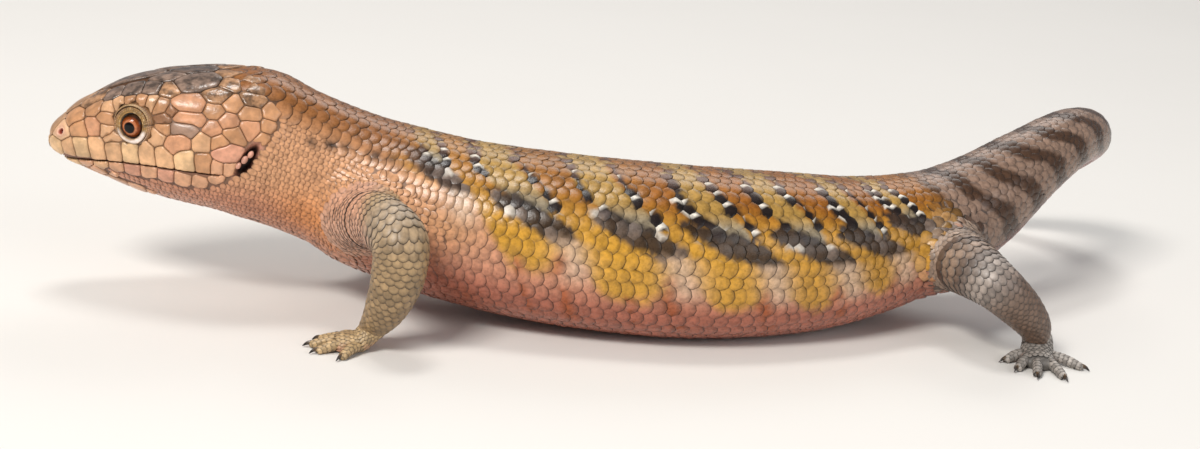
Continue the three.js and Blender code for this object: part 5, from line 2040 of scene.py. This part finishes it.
footCoat = {
    "palmPitch": 0.85,
    "palmRows": 18,
    "toePitch": 0.86,
    # angle round the toe, 90 at its top, and width in mm of each row
    "toeRows": [(90, 1.5), (32, 1.0), (148, 1.0), (-8, 0.9), (188, 0.9), (-52, 1.0), (232, 1.0), (-90, 1.1)],
    "deepest": 0.18,  # mm inside another part at which a scale is left out
    "lowest": 0.12,  # and the height over the floor
    "ringLight": {"foreleg": 0.22, "hindleg": 0.4},  # how much lighter every other ring is
    "wide": 1.12,
    # edge: power on the scales' ring tones, which deepens their dark sutures and painted shade
    "laid": {"size": 1.7, "sunk": 0.08, "edge": 1.3},
}


def palmPlaces(tube):
    # rings from heel to knuckles, each turned by half a scale from the last
    a = np.arange(0.2, tube["end"] + 0.9, footCoat["palmPitch"])
    rows = footCoat["palmRows"]
    ring = np.repeat(np.arange(len(a)), rows)
    degrees = (np.tile(np.arange(rows), len(a)) + 0.5 * (ring % 2)) * 360 / rows
    a = np.repeat(a, rows)
    width = mmPerDegree(tubeSurface(tube)[0], a, degrees) * 360 / rows
    return a, degrees, width, ring


def toePlaces(tube):
    # one broad row along the top and narrower ones round the sides, every other set back
    rows = np.array(footCoat["toeRows"], float)
    a = np.arange(-0.4, tube["end"] + 0.5, footCoat["toePitch"])
    ring = np.repeat(np.arange(len(a)), len(rows))
    back = np.tile(np.arange(len(rows)) % 2, len(a)) * 0.4
    return np.repeat(a, len(rows)) + back, np.tile(rows[:, 0], len(a)), np.tile(rows[:, 1], len(a)), ring


def coatFoot(limb):
    # the scales of each part of the foot, less those that lie inside another part
    tubes = [limb["palm"]] + [toe for toe, _ in limb["toes"]]
    shells = []
    for index, tube in enumerate(tubes):
        a, degrees, width, ring = toePlaces(tube) if index else palmPlaces(tube)
        pitch = footCoat["toePitch" if index else "palmPitch"]
        centre = tubePoint(tube, a, degrees)
        others = [limb["tube"]] + tubes[:index] + tubes[index + 1:]
        keep = centre[:, 2] > footCoat["lowest"]
        for other in others:
            keep &= insideTube(centre, other) < footCoat["deepest"]
        a, degrees, width, ring, top = (x[keep] for x in (a, degrees, width, ring, centre[:, 2]))
        # every other ring lighter; darker near the floor as painted shade
        bandsAndShade = 1 + footCoat["ringLight"][limb["name"]] * (ring % 2) - 0.18 * smooth(1.2, 0.3, top)
        colour = limbPaint[limb["name"] + "Foot"] * bandsAndShade[:, None] * (1 + jitter((len(a), 1), 0.12))
        if index == 0:
            colour = mix(colour, limbPaint["heel"], smooth(2.6, 0.6, top) * 0.7)
        place = limbUnwrap(np.full(len(a), limb["index"]), 40 + a + 0.6 * index, degrees)
        long = np.full(len(a), pitch * legCoat["long"])
        wide = width * footCoat["wide"]
        shells.append(layScales(tubeSurface(tube), a, degrees, long, wide, colour, place, **footCoat["laid"]))
    return shells


# The coat of the limbs and feet

legCoat = {
    # rows round the limb and mm from ring to ring: fine at the root, then coarser
    "root": {"rows": 30, "pitch": 0.95},
    "foreleg": {"rows": 16, "pitch": 1.2, "from": 21.5, "bend": (27.5, 4.5)},
    "hindleg": {"rows": 18, "pitch": 1.1, "from": 14.0, "bend": (24.0, 4.5)},
    "start": 6.0,
    "drawn": 28,  # how far along the limb its scales may lie on the soft union
    "deepest": 6,  # mm inside the trunk at which one is left out at once
    "flat": 0.06,  # mm of moving past which a scale is laid as a flat plate
    "inside": 0.2,  # mm inside the trunk at which one is left out after moving
    "moved": 3,  # the furthest that one may move
    "headOn": 0.72,  # and the most that the union may face along the limb
    "long": 1.75,  # a scale's length over the step from ring to ring
    "wide": 1.36,  # and its width over the space that it has in its ring
    # edge: power on the scales' ring tones, which deepens their dark sutures and painted shade
    "laid": {"size": 2.3, "sunk": 0.24, "edge": 1.5},
    "laidFlat": {"size": 1.5, "sunk": 0.26, "edge": 0.9},
}


def limbPlaces(limb):
    # rings of scales along the tube, with each second ring turned by half a scale; they
    # lie closer round the bend, whose outer side spreads them
    tube = limb["tube"]
    own = legCoat[limb["name"]]
    a, ring, found = legCoat["start"], 0, []
    while a < tube["end"] + 0.6:
        fine = a < own["from"]
        rows = legCoat["root"]["rows"] if fine else own["rows"]
        radius = np.interp(a, tube["length"], tube["values"][:, 12])
        width = 2 * np.pi * radius / rows
        middle, reach = own["bend"]
        pitch = legCoat["root"]["pitch"] if fine else own["pitch"] * radius / 4.6
        step = pitch * (1 - 0.38 * np.exp(-(((a - middle) / reach) ** 2)))
        degrees = (np.arange(rows) + 0.5 * (ring % 2)) * 360 / rows
        found.append(np.stack([np.full(rows, a), degrees, np.full(rows, width), np.full(rows, step)], -1))
        a += step
        ring += 1
    return np.vstack(found)


def coatLimb(limb):
    # the tube's scales; near the root they lie on the soft union, and those where the
    # trunk's own surface is nearer are left out
    a, degrees, width, step = limbPlaces(limb).T
    surface = tubeSurface(limb["tube"])
    centre, normal = (at(a, degrees) for at in surface)
    keep = np.ones(len(a), bool)
    flat = np.zeros(len(a), bool)
    chosen = np.flatnonzero(a < legCoat["drawn"])

    def insideTrunk(points):
        return limbDistance(points, limb) - trunkDistance(points, *limb["meets"])

    gap = insideTrunk(centre[chosen])
    keep[chosen[gap > legCoat["deepest"]]] = False
    chosen = chosen[gap <= legCoat["deepest"]]
    on, slopes = ontoUnion(centre[chosen], limb)
    moved = np.linalg.norm(on - centre[chosen], axis=-1)
    centre[chosen], normal[chosen], flat[chosen] = on, slopes, moved > legCoat["flat"]
    nextTo = surface[0](a + 0.5, degrees) - surface[0](a - 0.5, degrees)
    headOn = np.abs((unit(nextTo[chosen]) * slopes).sum(-1))
    stays = (insideTrunk(on) < legCoat["inside"]) & (moved < legCoat["moved"])
    keep[chosen] &= stays & (headOn < legCoat["headOn"])
    k = np.full(len(a), limb["index"])
    colour = limbColour(k, a, degrees, centre) * (1 + jitter((len(a), 1), 0.2))
    # how far the bend spreads or draws together the rings at each place
    stretch = np.clip(np.linalg.norm(nextTo, axis=-1), 0.35, 1.8)
    place = limbUnwrap(k, a, degrees)
    long, wide = step * legCoat["long"], width * legCoat["wide"]
    m = keep & ~flat
    shells = [layScales(surface, a[m], degrees[m], long[m], wide[m], colour[m], place[m], **legCoat["laid"])]
    m = keep & flat
    spread = long[m] * stretch[m]
    plates = centre[m], normal[m], nextTo[m], spread, wide[m], colour[m], place[m]
    shells.append(layPlates(*plates, **legCoat["laidFlat"]))
    piece = makePiece(limb["label"] + "Scales", shells + coatFoot(limb), limbKeratin)


# smaller scales with a duller surface than the trunk's
limbKeratin = scaleMaterial("limbKeratin", 0.42, 0.25, 0.3)
for limb in allLimbs:
    coatLimb(limb)


# Claws: dark horn, keeled along the top and thinning to a point

claw = {
    "around": 14,
    "steps": 18,
    "root": 0.42,
    "tip": 0.05,
    "point": 0.02,  # half size of the last ring
    "flat": 0.82,  # width and height of a ring over its size
    "tall": 1.12,
    "sink": 0.15,  # how far the tip hangs below the path
    "base": "#7A6248",
    "end": "#1E1510",
}


def makeClaws(limb):
    # round rings along an arc from inside the toe's tip to a point, thinner by 1 - u^1.5,
    # pressed in at the sides below and with a keel along the top
    n = claw["around"]
    u = np.linspace(0, 1, claw["steps"])
    angle = np.radians(np.linspace(0, 360, n, endpoint=False))[None, :]
    size = (claw["root"] * (1 - u**1.5) + claw["tip"]) * (u < 1) + claw["point"]
    pressed = 1 - 0.3 * smooth(0.2, -0.9, np.sin(angle))
    keel = 1 + 0.12 * np.exp(-(((np.degrees(angle) - 90) / 28) ** 2))
    across = size[:, None] * np.cos(angle) * pressed * claw["flat"]
    high = size[:, None] * np.sin(angle) * keel * claw["tall"] - claw["sink"] * u[:, None] ** 2
    tint = mix(linear(claw["base"]), linear(claw["end"]), smooth(0.1, 0.8, u))
    tint = np.vstack([np.repeat(tint, n, 0), tint[:1], tint[-1:]])
    along, about = np.repeat(u, n), np.tile(np.arange(n) / n, len(u))
    uv = np.stack([np.hstack([along, 0, 1]) * 0.2, np.hstack([about, 0, 0]) * 0.15], -1)
    shells = []
    for _, tube in limb["toes"]:
        q = {name: column[:, None] for name, column in tubeAt(tube, u * tube["end"]).items()}
        points, faces = cappedRings(q["at"] + q["side"] * across[..., None] + q["up"] * high[..., None])
        shells.append((points, tint, uv + [0.3, 0.17 * len(shells)], faces))
    piece = makePiece(limb["label"] + "Claws", shells, horn)
    side = "left" if limb["side"] > 0 else "right"
    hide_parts(*[f"claw_{limb['name']}_{side}_{k}" for k in range(1, 6)])


# polished horn: nearly black at the point, browner and clearer at the root
horn = scaleMaterial("clawHorn", 0.28, 0.5, 0.15)
for limb in allLimbs:
    makeClaws(limb)
print("claws done")


# Floor, light and camera


studio = {
    "floor": "#E4E1DC",
    "wide": 3.0,  # metres
    "world": 0.3,
    "key": 11.3,  # watts
    "top": 2.4,
    "fill": 2.6,
    "back": 3.2,
}


def linkObject(name, data):
    # a new object of the scene
    thing = bpy.data.objects.new(name, data)
    bpy.context.scene.collection.objects.link(thing)
    return thing


def makeStage():
    # one broad level sheet, far wider than the view
    mesh = bpy.data.meshes.new("floor")
    corners = [(x * studio["wide"], y * studio["wide"], 0) for x, y in ((-1, -1), (1, -1), (1, 1), (-1, 1))]
    mesh.from_pydata(corners, [], [(0, 1, 2, 3)])
    floor = linkObject("floor", mesh)
    # matt painted board: pale and even, with the faintest unevenness
    material, tree, shader = newMaterial("paintedBoard")
    where = addNode(tree, "ShaderNodeTexCoord")
    links = {"Vector": where.outputs["Object"], "Scale": 14.0, "Detail": 4.0}
    noise = addNode(tree, "ShaderNodeTexNoise", None, links)
    base = linear(studio["floor"])
    ramp = addNode(tree, "ShaderNodeValToRGB", None, {0: noise.outputs["Fac"]})
    ramp.color_ramp.elements[0].color = (*(base * 0.97), 1)
    ramp.color_ramp.elements[1].color = (*base, 1)
    tree.links.new(ramp.outputs[0], shader.inputs["Base Color"])
    shader.inputs["Roughness"].default_value = 0.85
    mesh.materials.append(material)


def softLight(name, place, target, size, power, tint):
    # a square area light that faces its target
    data = bpy.data.lights.new(name, "AREA")
    data.shape = "RECTANGLE"
    data.size = size
    data.size_y = size * 0.6
    data.energy = power
    data.color = tint
    lamp = linkObject(name, data)
    back = unit(np.array(place, float) - np.array(target, float))
    right = unit(np.cross([0, 0, 1], back))
    up = np.cross(back, right)
    lamp.matrix_world = placed(right, up, back, place)


def placed(right, up, back, place):
    # the matrix of an object with these axes at this place
    rows = np.column_stack([right, up, back, place])
    return Matrix([*rows.tolist(), [0, 0, 0, 1]])


def makeLights():
    # a key over the camera's left shoulder, one overhead that glints on the upper scales, a
    # weaker fill from the right, and a strip behind for the edge of the back
    softLight("keyLight", (-0.45, -0.75, 0.85), (0, 0, 0.02), 0.4, studio["key"], (1.0, 0.97, 0.93))
    softLight("topLight", (-0.12, 0.1, 0.9), (-0.04, 0, 0.03), 0.26, studio["top"], (1.0, 0.99, 0.97))
    softLight("fillLight", (0.8, -0.6, 0.5), (0, 0, 0.02), 0.8, studio["fill"], (0.95, 0.97, 1.0))
    softLight("backLight", (0.2, 0.9, 0.8), (0, 0, 0.02), 0.8, studio["back"], (1.0, 0.98, 0.95))
    world = bpy.data.worlds.new("softRoom")
    world.use_nodes = True
    background = world.node_tree.nodes["Background"]
    background.inputs["Color"].default_value = (0.93, 0.95, 1.0, 1)
    background.inputs["Strength"].default_value = studio["world"]
    bpy.context.scene.world = world
    bpy.context.scene.view_settings.view_transform = "Standard"


camera = {
    "target": (0.0, 0.0, 19.6),  # before the offset, mm
    "away": 360.0,
    "above": 17.0,  # degrees over the floor
    "roll": 5.0,
    "lens": 56.84,
}


def makeCamera():
    # looks along +Y and down by its elevation, rolled about that line
    e, r = np.radians(camera["above"]), np.radians(camera["roll"])
    forward = np.array([0, np.cos(e), -np.sin(e)])
    across = np.array([1.0, 0, 0])
    lifted = np.array([0, np.sin(e), np.cos(e)])
    right = across * np.cos(r) + lifted * np.sin(r)
    up = lifted * np.cos(r) - across * np.sin(r)
    place = (np.array(camera["target"]) + offset - forward * camera["away"]) / 1000
    data = bpy.data.cameras.new("photoCamera")
    data.lens = camera["lens"]
    data.sensor_width = 36
    data.clip_start = 0.01
    eye = linkObject("photoCamera", data)
    eye.matrix_world = placed(right, up, -forward, place)
    bpy.context.scene.camera = eye


makeStage()
makeLights()
makeCamera()
print("stage, lights and camera set")
